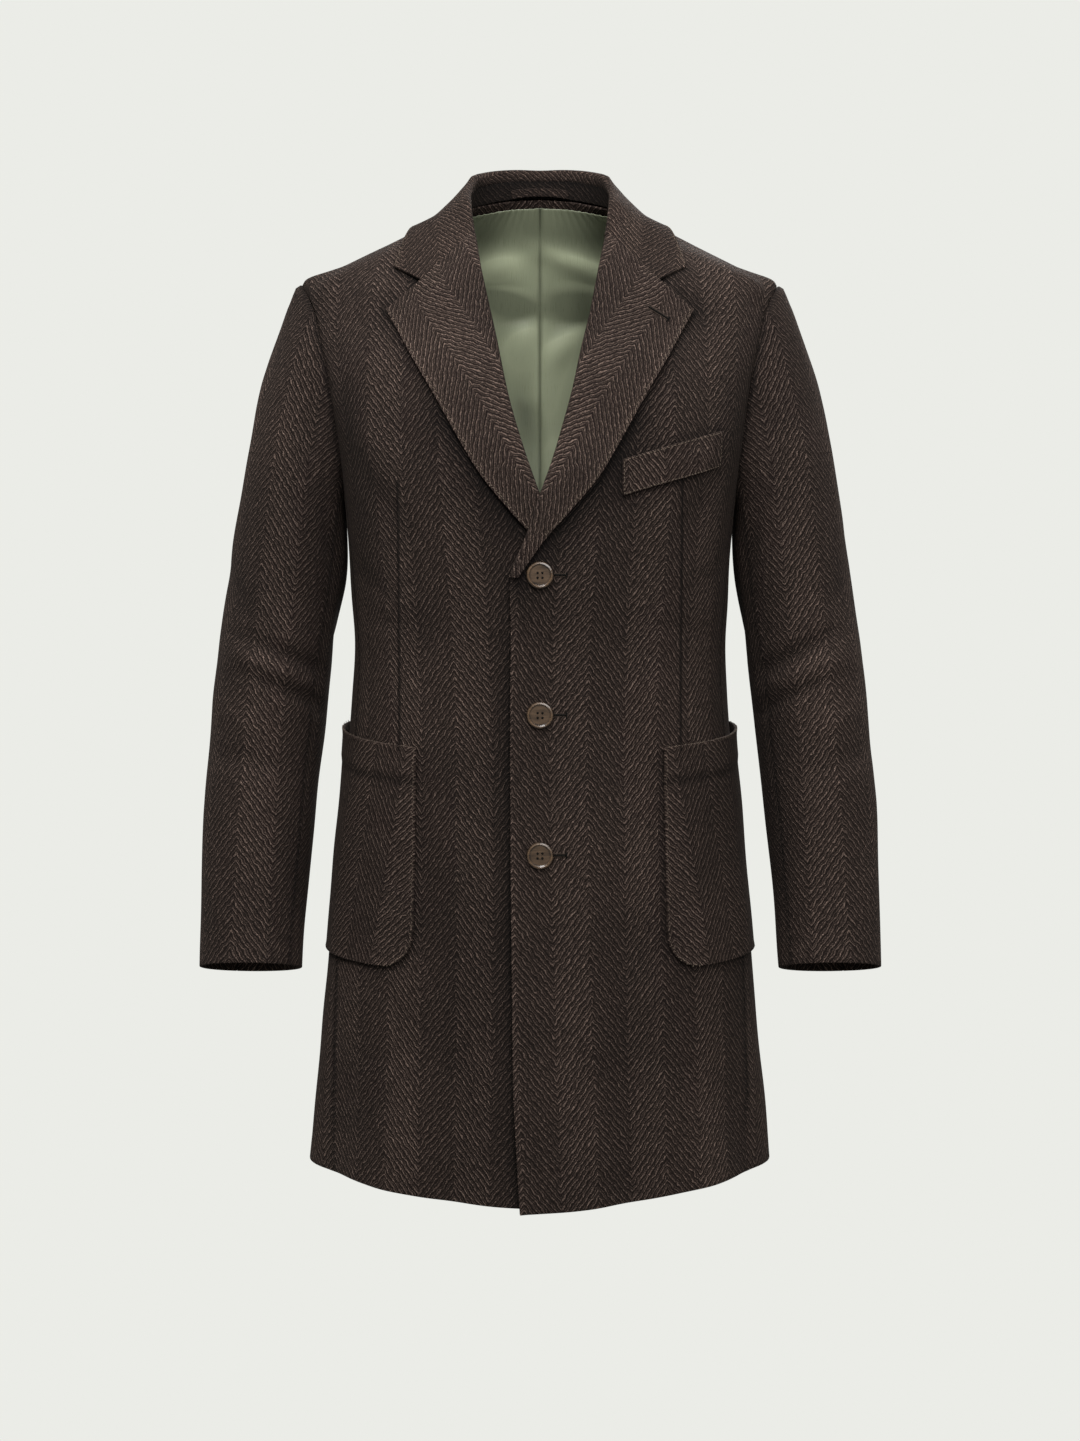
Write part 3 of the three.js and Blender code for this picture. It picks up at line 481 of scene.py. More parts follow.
def clear_of_body(point, clearance):
    def level(p):
        z = p[2]
        if p[1] > 0:
            z -= body["back_rise"](z) * min(p[1] / body["back"](z), 1) ** 2
        z = min(0, z)
        depth = body["front"](z) if p[1] < 0 else body["back"](z)
        power = body["roundness"](z)
        across = (abs(p[0]) / body["half_width"](z)) ** power
        return (across + (abs(p[1]) / depth) ** power) ** (1 / power) + max(0, p[2] - 20) / 60

    moved = np.array(point, float)
    for _ in range(6):
        here = level(moved)
        slope = np.array([level(moved + step) - here for step in np.eye(3) * 0.5]) * 2
        distance = (here - 1) / np.linalg.norm(slope)
        if distance >= clearance:
            break
        moved = moved + unit(slope) * (clearance - distance)
    return moved


def neck_seam(at):
    if at <= NECK_POINT_AT:
        return body_point(90 * (1 - at / NECK_POINT_AT), 0)
    z = GORGE_Z * (at - NECK_POINT_AT) / (1 - NECK_POINT_AT)
    return body_point(*place_of_x(neck_x(z), z))


def collar_frame(at):
    turn, lean = math.radians(collar["turn"](at)), math.radians(collar["lean"](at))
    inward = np.array([-math.sin(turn), -math.cos(turn), 0])
    up = inward * math.sin(lean) + np.array([0, 0, math.cos(lean)])
    along = neck_seam(min(1, at + 0.02)) - neck_seam(max(0, at - 0.02))
    outward = unit(np.cross(along, up))
    faces_in = outward @ inward > 0 if at < GORGE_TURN_AT else outward[1] > 0
    return neck_seam(at), up, -outward if faces_in else outward


# The top of a lapel, from the roll line to the notch, where the collar is sewn on
GORGE = lapel_points(no_lift)[0, ROLL_STEPS + 1 : ROLL_STEPS + 1 + GORGE_STEPS]


def stand_top(at):
    return max(collar["height"](at) - FALL_ABOVE_SEAM, STAND_SHARE * collar["height"](at))


def collar_section(at):
    foot, up, outward = collar_frame(at)
    radius = collar["radius"](at)
    height = max(collar["height"](at), radius + COLLAR_FOOT)
    row = [foot + up * min(stand_top(at), height - radius - COLLAR_FOOT)]
    for turn in steps(ROLL_STEPS):
        rise = height - radius + radius * math.sin(math.pi * turn)
        row.append(foot + up * rise + outward * radius * (1 - math.cos(math.pi * turn)))
    over = row[-1]
    edge = np.array([collar["edge_x"](at), collar["edge_y"](at), collar["edge_z"](at)])
    clearance = LAYER + COLLAR_EASE
    corner = clear_of_body(edge, clearance)
    for k, u in enumerate(steps(GORGE_STEPS + POINT_STEPS)[1:]):
        past_notch = max(0, u - NOTCH_SHARE) / (1 - NOTCH_SHARE)
        seam = lerp(GORGE[min(k, GORGE_STEPS - 1)], corner, past_notch)
        fall = clear_of_body(lerp(over, edge, u), clearance)
        row.append(clear_of_body(lerp(fall, seam, smooth(at, STAND_END_AT, 1)), clearance))
    return row


def both_sides(half):
    half = np.array(half)
    return np.concatenate([half[:0:-1] * [-1, 1, 1], half])


def stand_points():
    half = []
    for t in steps(COLLAR_STATIONS - 2):
        foot, up, _ = collar_frame(t * STAND_END_AT)
        top = stand_top(t * STAND_END_AT)
        half.append([foot + up * lerp(STAND_FOOT, top, k) for k in (0, 0.5, 1)])
    return both_sides(half)


def loop_points():
    standoff = (WOOL + LOOP["thickness"]) / 2 + LOOP["clear"]
    heights = [LOOP["rise"] + end * LOOP["strip"] / 2 for end in (-1, 0, 1)]
    half = []
    for t in steps(LOOP_STATIONS):
        foot, up, outward = collar_frame(LOOP["end_at"] * t)
        away = -outward * (standoff + LOOP["slack"] * math.cos(math.pi / 2 * t))
        half.append([foot + up * height + away for height in heights])
    return both_sides(half)


# ---------------------------------------------------------------- pockets
def pocket_points():
    height = POCKET["top_z"] - POCKET["bottom_z"]
    radius = POCKET["corner_radius"]
    grid = []
    for down in POCKET_ROWS:
        short = max(0, radius - (1 - down) * height)
        cut = radius - math.sqrt(radius**2 - short**2)
        row = []
        for u in steps(POCKET_COLUMNS):
            z = lerp(POCKET["top_z"] + POCKET["top_rise"] * u, POCKET["bottom_z"], down)
            front = place_of_x(POCKET["front_x"] + POCKET["front_lean"] * down + cut, z)[0]
            rear = POCKET["rear_angle"] - cut / radius * POCKET["corner_angle"]
            angle = lerp(front, rear, u)
            mouth = (1 - down) ** 3 * math.sin(math.pi * lerp(*POCKET_GAPE_SPAN, u))
            off = LAYER + POCKET["gape"] * mouth
            row.append(body_point(angle, z) + body_normal(angle, z) * off)
        grid.append(row)
    return np.array(grid)


def welt_points():
    off = (WOOL + WELT["thickness"]) / 2 + WELT["gap"]
    return np.array([
        [
            at_x(
                lerp(WELT["left_x"], WELT["right_x"], u),
                lerp(WELT["top_left_z"], WELT["top_right_z"], u) - WELT["height"] * down,
                lambda px, pz: off + overlap_lift(px, pz),
            )
            for u in steps(WELT_COLUMNS)
        ]
        for down in steps(WELT_ROWS)
    ])


# ---------------------------------------------------------------- folds
# Soft creases laid along lines, given one by one. Ends are an angle round the body (-90 front
# middle, 0 side, 90 back middle) and a height, or a turn round the sleeve and a row of it.
# side is 1 on the wearer's left, -1 on the right; depth is outwards.
BODY_CREASES = table(("side", "angle0", "z0", "angle1", "z1", "width", "depth"), [
    (1, -32, -240, -52, -330, 15, -2.2),
    (1, -40, -225, -62, -290, 18, 1.8),
    (-1, -30, -235, -54, -318, 14, -2.4),
    (-1, -42, -215, -60, -300, 17, 1.7),
    (1, -18, -330, -44, -372, 13, -1.8),
    (-1, -20, -345, -48, -375, 12, -1.6),
    (-1, -26, -392, -60, -402, 10, -1.4),
    (1, -24, -410, -58, -398, 11, -1.3),
    (1, -60, -560, -68, -900, 26, -3.0),
    (1, -46, -740, -42, -925, 22, 2.6),
    (-1, -62, -540, -66, -920, 24, -3.4),
    (-1, -50, -745, -47, -925, 20, 2.4),
    (-1, -30, -760, -27, -925, 22, -3.2),
    (1, -30, -770, -25, -925, 20, -2.6),
    (-1, -12, -740, -8, -925, 26, 3.2),
    (1, -10, -735, -6, -925, 24, 2.8),
    (1, 8, -430, 14, -900, 22, -3.0),
    (-1, 6, -440, 12, -910, 20, -2.6),
    (1, 34, -520, 30, -922, 26, 4.4),
    (-1, 38, -500, 36, -922, 24, 3.8),
    (1, 52, -600, 55, -922, 22, -4.2),
    (-1, 56, -590, 60, -922, 24, -4.6),
    (1, 72, -640, 70, -922, 24, 3.4),
    (-1, 76, -660, 73, -922, 22, 3.0),
    (1, 30, -170, 46, -330, 15, -2.8),
    (1, 22, -200, 36, -360, 14, 2.2),
    (-1, 32, -180, 50, -345, 15, -3.0),
    (-1, 24, -210, 34, -350, 13, 2.0),
    (1, 40, -400, 76, -418, 13, -2.2),
    (-1, 36, -392, 72, -424, 14, -2.4),
    (1, 44, -428, 80, -440, 12, 1.6),
    (-1, 50, -436, 84, -446, 12, 1.5),
    (1, 66, -60, 72, -190, 22, 1.6),
    (-1, 64, -64, 70, -200, 20, 1.4),
])
SLEEVE_CREASES = table(("side", "angle0", "z0", "angle1", "z1", "width", "depth"), [
    (1, 60, 8.4, 150, 9.4, 9, -6.0),
    (-1, 56, 8.6, 152, 9.3, 9, -5.6),
    (1, 76, 10.4, 165, 11.4, 8, -4.4),
    (-1, 66, 10.2, 160, 11.1, 8, -4.8),
    (1, 40, 9.6, 130, 10.4, 10, 2.8),
    (-1, 46, 9.5, 136, 10.2, 10, 3.0),
    (1, 30, 11.6, 100, 12.1, 12, 2.6),
    (-1, 24, 11.4, 96, 12.2, 12, 2.4),
    (1, 20, 12.4, 110, 12.8, 11, -2.8),
    (-1, 30, 12.5, 118, 12.7, 11, -2.6),
    (1, 10, 6.4, 70, 7.6, 15, -2.2),
    (-1, 6, 6.8, 74, 7.9, 15, -2.6),
    (1, -20, 2.2, 30, 5.6, 16, 2.2),
    (-1, -14, 2.0, 34, 5.2, 16, 2.4),
    (1, 82, 1.4, 96, 5.2, 14, -3.2),
    (-1, 80, 1.2, 100, 5.0, 14, -3.4),
    (1, 110, 3.0, 150, 6.4, 13, -3.4),
    (-1, 114, 3.2, 156, 6.6, 13, -3.0),
    (1, 20, 13.2, 60, 15.4, 16, 2.2),
    (-1, 26, 13.4, 64, 15.2, 15, 2.4),
    (1, -60, 9.0, -120, 10.6, 13, -3.6),
    (-1, -56, 9.4, -116, 10.8, 13, -3.4),
    (1, -90, 2.0, -110, 5.8, 15, -3.4),
    (-1, -86, 2.2, -112, 6.0, 15, -3.0),
    (1, -50, 5.6, -100, 7.6, 14, 2.4),
    (-1, -46, 5.8, -96, 7.4, 14, 2.6),
    (1, 170, 6.0, 200, 9.0, 12, -3.0),
    (-1, 172, 6.4, 204, 9.2, 12, -3.2),
])
CREASE_POINTS = 9
CREASE_BOW = 0.07
CREASE_SHADE = 0.055
FADE_AT_HEM = 25
# Low waves all over the cloth: a depth, then two directions across it with their starts.
UNEVEN = [
    (0.7, (0.021, 0.013, 0.017), 1.3, (-0.012, 0.019, 0.026), 0),
    (0.35, (0.052, 0.031, 0.043), 0, (0.037, -0.044, 0.029), 2.1),
]


def crease_line(crease, point_at):
    """Points along a crease, bowed a little to one side as cloth does."""
    line = []
    for t in steps(CREASE_POINTS - 1):
        bow = CREASE_BOW * math.sin(math.pi * t)
        angle = lerp(crease["angle0"], crease["angle1"], t)
        z = lerp(crease["z0"], crease["z1"], t)
        angle += bow * (crease["z1"] - crease["z0"]) * (0.2 if abs(z) > 30 else 3)
        line.append(point_at(angle, z))
    return np.array(line)


def nearest(flat, line):
    """Each point's distance from a line of points, and how far along the line that is."""
    near = np.full(len(flat), 1e9)
    along = np.zeros(len(flat))
    for k in range(len(line) - 1):
        span = line[k + 1] - line[k]
        t = np.clip((flat - line[k]) @ span / (span @ span), 0, 1)
        away = np.linalg.norm(flat - line[k] - t[:, None] * span, axis=1)
        closer = away < near
        near = np.where(closer, away, near)
        along = np.where(closer, (k + t) / (len(line) - 1), along)
    return near, along


def creased(points, normals, side, creases, point_at):
    """Moves points along their normals by every crease that passes near them.
    Returns them with a shade for each, darker in a trough and lighter on a ridge."""
    flat = points.reshape(-1, 3)
    rise = np.zeros(len(flat))
    for crease in creases:
        if crease["side"] != side:
            continue
        near, along = nearest(flat, crease_line(crease, point_at))
        taper = np.sin(np.pi * np.clip(along * 0.86 + 0.07, 0, 1)) ** 0.7
        if crease["z1"] <= HEM_Z + FADE_AT_HEM:
            taper = smooth(along, 0, 0.8)
        rise += crease["depth"] * taper * np.exp(-((near / crease["width"]) ** 2))
    shade = np.clip(1 + rise * CREASE_SHADE, 0.66, 1.16).reshape(points.shape[:2])
    for depth, one, one_start, two, two_start in UNEVEN:
        rise += depth * np.sin(flat @ one + one_start) * np.sin(flat @ two + two_start)
    return points + rise.reshape(points.shape[:2])[..., None] * normals, shade


def shaded(points, lines):
    """The share of light that is left beside edges that lie over the cloth."""
    flat = points.reshape(-1, 3)
    left = np.ones(len(flat))
    for line, reach, depth in lines:
        left *= 1 - depth * np.exp(-nearest(flat, line)[0] / reach)
    return left.reshape(points.shape[:2])


def rimmed(points, normals, shade, line, reach, proud, light):
    """A padded edge: the cloth beside the line stands proud, and its colour is painted lighter
    there: a painted highlight.
    """
    near = np.exp(-((nearest(points.reshape(-1, 3), line)[0] / reach) ** 2)).reshape(shade.shape)
    return points + normals * (near * proud)[..., None], shade * (1 + light * near)


# ---------------------------------------------------------------- finer grids
def resampled(grid, spacing, hard=()):
    """Lays a smooth curve through every line of points down a grid. hard rows keep a corner."""
    gaps = np.linalg.norm(np.diff(grid[..., :3], axis=0), axis=2).mean(axis=1)
    knots = np.concatenate([[0], np.cumsum(gaps)])
    ends = [0, *hard, len(grid) - 1]
    pieces = []
    for start, end in zip(ends, ends[1:]):
        part, at = grid[start : end + 1], knots[start : end + 1]
        slope = np.diff(part, axis=0) / np.diff(at)[:, None, None]
        tangent = np.concatenate([slope[:1], slope, slope[-1:]])
        width = np.concatenate([[1], np.diff(at), [1]])[:, None, None]
        tangent = (tangent[:-1] * width[1:] + tangent[1:] * width[:-1]) / (width[1:] + width[:-1])
        for k in range(len(part) - 1):
            count = max(1, round((at[k + 1] - at[k]) / spacing))
            t = (np.arange(count) / count)[:, None, None]
            span = at[k + 1] - at[k]
            bend = t * t * (3 - 2 * t)
            pieces.append(
                part[k] * (1 - bend) + part[k + 1] * bend
                + span * (t * (1 - t) ** 2 * tangent[k] + t * t * (t - 1) * tangent[k + 1])
            )
    return np.concatenate([*pieces, grid[-1:]])


def refined(grid, spacing, hard_columns=(), across=None):
    grid = resampled(grid, spacing)
    grid = resampled(grid.transpose(1, 0, 2), across or spacing, hard_columns)
    return grid.transpose(1, 0, 2)


MIDDLE_ROW, MIDDLE_COLUMN = 0.5, 0.8


def middle_of(grid):
    """The point or normal that decides which way a grid faces."""
    return grid[int(grid.shape[0] * MIDDLE_ROW), int(grid.shape[1] * MIDDLE_COLUMN)]


def normals_of(points, facing):
    """Normals of a grid, turned so that its middle faces the given way."""
    across = np.gradient(points, axis=1)
    down = np.gradient(points, axis=0)
    normals = np.cross(across, down)
    normals /= np.linalg.norm(normals, axis=2)[..., None] + 1e-12
    return normals if middle_of(normals) @ np.array(facing) > 0 else -normals


LEAST_WEIGHT, MOST_WEIGHT = 0.05, 8
FLATTEN_PASSES = 40


def flat_edges(points, faces):
    """The edges of each triangle, laid flat one by one, and how stiff each edge is."""
    one, two = (points[faces[:, k]] - points[faces[:, 0]] for k in (1, 2))
    shape = np.zeros((len(faces), 3, 2))
    base = np.linalg.norm(one, axis=1)
    along = np.einsum("ij,ij->i", one, two) / base
    shape[:, 1, 0], shape[:, 2, 0] = base, along
    shape[:, 2, 1] = np.sqrt(np.maximum((two**2).sum(axis=1) - along**2, 1e-6))
    edges = np.roll(shape, -1, axis=1) - shape
    weight = np.zeros((len(faces), 3))
    for k in range(3):
        u, v = -edges[:, (k + 1) % 3], edges[:, (k + 2) % 3]
        cross = np.abs(u[:, 0] * v[:, 1] - u[:, 1] * v[:, 0]) + 1e-6
        weight[:, k] = np.clip((u * v).sum(axis=1) / cross, LEAST_WEIGHT, MOST_WEIGHT)
    return edges, weight


def first_guess(grid, column):
    """The grid's own lengths across and down, measured from one column."""
    wide = np.cumsum(np.linalg.norm(np.diff(grid, axis=1), axis=2), axis=1)
    wide = np.concatenate([np.zeros((len(grid), 1)), wide], axis=1)
    deep = np.cumsum(np.linalg.norm(np.diff(grid[:, column], axis=0), axis=1))
    deep = np.concatenate([[0], deep])[:, None] + np.zeros(grid.shape[:2])
    return np.stack([wide - wide[:, column][:, None], deep], axis=2).reshape(-1, 2)


def laid_flat(grid, column, top_row=0):
    """The grid as it was cut from flat cloth: every triangle is kept near its true shape.
    The stripes run along one column, which is where u is 0 at the foot."""
    rows, columns = grid.shape[:2]
    index = np.arange(rows * columns).reshape(rows, columns)
    a, b, c, d = (index[:-1, :-1], index[:-1, 1:], index[1:, :-1], index[1:, 1:])
    faces = np.concatenate([
        np.stack(corners, axis=2).reshape(-1, 3)
        for corners in ((a, b, c), (d, c, b), (b, d, a), (c, a, d))
    ])
    edges, weight = flat_edges(grid.reshape(-1, 3), faces)
    size = rows * columns
    links = np.zeros((size, size))
    for k in range(3):
        i, j = faces[:, k], faces[:, (k + 1) % 3]
        np.add.at(links, (i, j), -weight[:, k])
        np.add.at(links, (j, i), -weight[:, k])
    links -= np.diag(links.sum(axis=1))
    links[0, 0] += 1
    solve = np.linalg.inv(links)
    uv = first_guess(grid, column)
    for _ in range(FLATTEN_PASSES):
        corner = uv[faces]
        now = np.roll(corner, -1, axis=1) - corner
        bend = np.einsum("tk,tki,tkj->tij", weight, edges, now)
        left, _, right = np.linalg.svd(bend)
        sign = np.sign(np.linalg.det(left @ right))
        left[:, :, 1] *= sign[:, None]
        spin = left @ right
        pull = weight[..., None] * np.einsum("tki,tij->tkj", edges, spin)
        total = np.zeros((size, 2))
        for k in range(3):
            np.add.at(total, faces[:, k], -pull[:, k])
            np.add.at(total, faces[:, (k + 1) % 3], pull[:, k])
        uv = solve @ total
    uv = uv.reshape(rows, columns, 2)
    down = unit(uv[-1, column] - uv[top_row, column])
    uv = np.stack([uv @ [down[1], -down[0]], -(uv @ down)], axis=2)
    return uv - uv[-1, column]


def refined_cloth(coarse, spacing, column, top_row=0, start=0.0, **finer):
    """A finer grid of a piece, with cloth coordinates that are refined in the same way."""
    both = np.concatenate([coarse, laid_flat(coarse, column, top_row)], axis=2)
    both = refined(both, spacing, **finer)
    return both[..., :3], both[..., 3:] + [start, 0]


def edge_uv(points, anchor):
    """Cloth coordinates where the stripes follow one column of the grid."""
    width = np.linalg.norm(np.diff(points, axis=1), axis=2)
    u = np.concatenate([np.zeros((len(points), 1)), np.cumsum(width, axis=1)], axis=1)
    u = u - u[:, anchor][:, None]
    run = np.linalg.norm(np.diff(points, axis=0), axis=2) ** 2 - np.diff(u, axis=0) ** 2
    v = np.concatenate([np.zeros((1, points.shape[1])), np.cumsum(np.sqrt(np.abs(run)), axis=0)])
    return np.stack([u, v - v[-1:]], axis=2)


# ---------------------------------------------------------------- materials
TWILL_SLOPE = 1.3
TWILL_WANDER = 1.1
STRIPE_WIDTH = 0.0345
BODY_PITCH = 0.0074
LAPEL_PITCH = 0.0068
# The front darts: how far out, top and foot heights, width, how dark their painted shade is and how
# far they sink in the bump.
DART = {"x": 0.131, "top": -0.264, "foot": -0.515, "width": 0.0022, "dark": 0.9, "sunk": -3.0}
BUTTON_GROOVE = 0.0093
PAPER = (0.831, 0.839, 0.799)
FLOOR_GLOW = 0.25
WORLD_GLOW = 0.22


def set_inputs(tree, node, values):
    """Gives a node's inputs numbers, colours, vectors or other nodes' outputs."""
    for name, value in dict(values).items():
        socket = node.inputs[name]
        if isinstance(value, (int, float)):
            socket.default_value = value
        elif isinstance(value, tuple):
            socket.default_value = (*value, 1)[: len(socket.default_value)]
        else:
            tree.links.new(value, socket)


def add_node(tree, kind, values=(), **settings):
    node = tree.nodes.new(f"ShaderNode{kind}")
    for name, value in settings.items():
        setattr(node, name, value)
    set_inputs(tree, node, values)
    return node


def maths(tree, operation, *values):
    return add_node(tree, "Math", enumerate(values), operation=operation).outputs[0]


def noise(tree, place, scale, detail=2.0, roughness=0.5):
    values = {"Vector": place, "Scale": scale, "Detail": detail, "Roughness": roughness}
    return add_node(tree, "TexNoise", values).outputs["Fac"]


def stretched(tree, value, low, high, to_low=0.0, to_high=1.0):
    ends = {"From Min": low, "From Max": high, "To Min": to_low, "To Max": to_high}
    node = add_node(tree, "MapRange", {"Value": value, **ends}, interpolation_type="SMOOTHSTEP")
    return node.outputs["Result"]


def mixed(tree, share, first, second, blend="MIX"):
    values = {0: share, 6: first, 7: second}
    return add_node(tree, "Mix", values, data_type="RGBA", blend_type=blend).outputs[2]


def mapped(tree, place, scale, rotation=(0, 0, 0)):
    values = {"Vector": place, "Scale": scale, "Rotation": rotation}
    return add_node(tree, "Mapping", values).outputs[0]


def bumped(tree, height, strength, distance):
    values = {"Height": height, "Strength": strength, "Distance": distance}
    return add_node(tree, "Bump", values).outputs[0]


def parts_of(tree, vector):
    return add_node(tree, "SeparateXYZ", {0: vector}).outputs


def shade_of(tree):
    return add_node(tree, "Attribute", attribute_name="shade").outputs["Fac"]


def new_material(name):
    """A material, its tree and shader, and the cloth and object coordinates in it."""
    material = bpy.data.materials.new(name)
    material.use_nodes = True
    tree = material.node_tree
    place = add_node(tree, "TexCoord").outputs
    return material, tree, tree.nodes["Principled BSDF"], place["UV"], place["Object"]


def herringbone_group():
    """Zigzag twill: columns of slanting lines, with flecks of light yarn and a soft nap."""
    tree = bpy.data.node_groups.new("herringbone", "ShaderNodeTree")
    kinds = {
        "INPUT": {"Cloth": "Vector", "Object": "Vector", "Ground": "Color", "Yarn": "Color",
                  "Pitch": "Float", "Contrast": "Float", "Shade": "Float"},
        "OUTPUT": {"Color": "Color", "Height": "Float"},
    }
    for way, sockets in kinds.items():
        for name, kind in sockets.items():
            tree.interface.new_socket(name=name, in_out=way, socket_type=f"NodeSocket{kind}")
    given = tree.nodes.new("NodeGroupInput").outputs
    calc, ease = partial(maths, tree), partial(stretched, tree)

    u, v, _ = parts_of(tree, given["Cloth"])
    slant = calc("MULTIPLY_ADD", calc("PINGPONG", u, STRIPE_WIDTH), TWILL_SLOPE, v)
    wander = noise(tree, given["Cloth"], 130.0)
    turns = calc("MULTIPLY_ADD", wander, TWILL_WANDER, calc("DIVIDE", slant, given["Pitch"]))
    coarse, fine = (calc("SINE", calc("MULTIPLY", turns, k * math.pi)) for k in (2, 4))
    line = calc("MULTIPLY_ADD", coarse, 0.55, calc("MULTIPLY", fine, 0.6))
    twill = ease(line, -0.45, 1.0)

    lying = enumerate((calc("MULTIPLY", u, 480.0), calc("MULTIPLY", turns, 3.4)))
    flecks = noise(tree, add_node(tree, "CombineXYZ", lying).outputs[0], 1.0, 2.0, 0.6)
    hairs = noise(tree, given["Cloth"], 900.0, 3.0, 0.7)
    lit = calc("MULTIPLY", twill, ease(flecks, 0.34, 0.68, 0.12, 1.0))
    lit = calc("MULTIPLY", lit, ease(hairs, 0.3, 0.7, 0.35, 1.35))
    lit = calc("MULTIPLY_ADD", ease(hairs, 0.52, 0.8), 0.16, lit)

    columns = calc("PINGPONG", calc("ADD", u, STRIPE_WIDTH / 2), STRIPE_WIDTH)
    side_tone = ease(calc("DIVIDE", columns, STRIPE_WIDTH), 0.44, 0.56, 0.84, 1.16)
    strength = calc("MULTIPLY", calc("MULTIPLY", lit, given["Contrast"]), side_tone)
    colour = mixed(tree, strength, given["Ground"], given["Yarn"])
    clouds = ease(noise(tree, given["Object"], 7.0, 3.0), 0.3, 0.7, 0.84, 1.16)
    shade = calc("MULTIPLY", clouds, ease(hairs, 0.25, 0.75, 0.75, 1.25))
    shade = calc("MULTIPLY", shade, given["Shade"])
    grey = add_node(tree, "CombineColor", dict.fromkeys(range(3), shade)).outputs[0]
    set_inputs(tree, tree.nodes.new("NodeGroupOutput"), {
        "Color": mixed(tree, 1.0, colour, grey, "MULTIPLY"),
        "Height": calc("MULTIPLY_ADD", twill, 0.8, calc("MULTIPLY", hairs, 0.6)),
    })
    return tree


HERRINGBONE = herringbone_group()


def dart_mark(tree, place):
    """A pressed line down each front, at a distance from the middle."""
    calc = partial(maths, tree)
    x, y, z = parts_of(tree, place)
    away = calc("ABSOLUTE", calc("SUBTRACT", calc("ABSOLUTE", x), DART["x"]))
    near = calc("MAXIMUM", calc("SUBTRACT", 1.0, calc("DIVIDE", away, DART["width"])), 0.0)
    under, over = calc("LESS_THAN", z, DART["top"]), calc("GREATER_THAN", z, DART["foot"])
    level = calc("MULTIPLY", calc("MULTIPLY", near, under), over)
    return calc("MULTIPLY", level, calc("LESS_THAN", y, 0.0))


def wool(name, ground, yarn, contrast=0.8, pitch=BODY_PITCH, dart=False):
    material, tree, shader, uv, place = new_material(name)
    weave = add_node(tree, "Group", {
        "Cloth": uv, "Object": place, "Ground": ground, "Yarn": yarn, "Pitch": pitch,
        "Contrast": contrast, "Shade": shade_of(tree),
    }, node_tree=HERRINGBONE).outputs
    colour, height = weave["Color"], weave["Height"]
    if dart:
        # The dart: a sunk line in the bump, with painted shade along it in the colour.
        mark = dart_mark(tree, place)
        pressed = tuple(part * 0.3 for part in ground)
        colour = mixed(tree, maths(tree, "MULTIPLY", mark, DART["dark"]), colour, pressed)
        height = maths(tree, "MULTIPLY_ADD", mark, DART["sunk"], height)
    set_inputs(tree, shader, {
        "Base Color": colour, "Roughness": 0.92, "Specular IOR Level": 0.15,
        "Sheen Weight": 0.03, "Sheen Roughness": 0.45, "Sheen Tint": (0.8, 0.62, 0.52),
        "Normal": bumped(tree, height, 0.6, 0.0007),
    })
    return material


def satin(name, dark, light):
    material, tree, shader, uv, place = new_material(name)
    threads = noise(tree, mapped(tree, uv, (1900, 60, 1)), 1.0)
    # Broad patches in object coordinates, lighter and darker in the colour: painted highlight and
    # painted shade of the satin's sheen; the same patches make soft ripples in the bump.
    pools = noise(tree, mapped(tree, place, (13, 1, 9), (0, 0.35, 0)), 1.0, 1.0)
    share = maths(tree, "MULTIPLY", threads, 0.15)
    share = maths(tree, "MULTIPLY_ADD", stretched(tree, pools, 0.36, 0.62), 0.85, share)
    share = maths(tree, "MULTIPLY_ADD", shade_of(tree), 0.8, maths(tree, "MULTIPLY", share, 0.3))
    height = maths(tree, "MULTIPLY_ADD", pools, 9.0, threads)
    set_inputs(tree, shader, {
        "Base Color": mixed(tree, share, dark, light),
        "Roughness": stretched(tree, threads, 0.3, 0.7, 0.27, 0.36),
        "Specular IOR Level": 0.7, "Normal": bumped(tree, height, 0.3, 0.0012),
    })
    return material


def horn(name, dark, light):
    """Streaky horn, with painted shade in the groove inside each button's rim, a painted highlight
    on the rim and painted shade at its outer edge.
    """
    material, tree, shader, _, place = new_material(name)
    calc, ease = partial(maths, tree), partial(stretched, tree)
    streaks = noise(tree, mapped(tree, place, (60, 60, 260), (0, 0.5, 0)), 1.0, 4.0, 0.6)
    x, _, z = parts_of(tree, place)
    below = calc("PINGPONG", calc("ADD", z, -BUTTON["top_z"] * M), BUTTON["pitch"] * M / 2)
    squares = (calc("POWER", calc("ABSOLUTE", x), 2.0), calc("POWER", below, 2.0))
    out = calc("SQRT", calc("ADD", *squares))
    # Painted shade in the groove, and a painted highlight on the rim beyond it.
    groove = ease(calc("ABSOLUTE", calc("SUBTRACT", out, BUTTON_GROOVE)), 0.0003, 0.0012, 0.05, 1.0)
    rim = calc("MULTIPLY", ease(out, 0.0090, 0.0098, 0.2, 0.5), groove)
    share = calc("MULTIPLY_ADD", ease(streaks, 0.32, 0.68), 0.4, rim)
    # Painted shade towards the button's outer edge.
    share = calc("SUBTRACT", share, ease(out, 0.0106, 0.0123, 0.0, 0.7))
    set_inputs(tree, shader, {
        "Base Color": mixed(tree, share, dark, light),
        "Roughness": ease(streaks, 0.2, 0.8, 0.26, 0.36),
        "Specular IOR Level": 0.8, "Coat Weight": 0.2,
        "Normal": bumped(tree, streaks, 0.08, 0.0004),
    })
    return material


def thread(name, dark, light):
    material, tree, shader, _, place = new_material(name)
    twist = noise(tree, place, 2500.0, 1.0)
    set_inputs(tree, shader, {
        "Base Color": mixed(tree, twist, dark, light), "Roughness": 0.8,
        "Specular IOR Level": 0.15, "Normal": bumped(tree, twist, 0.4, 0.0002),
    })
    return material


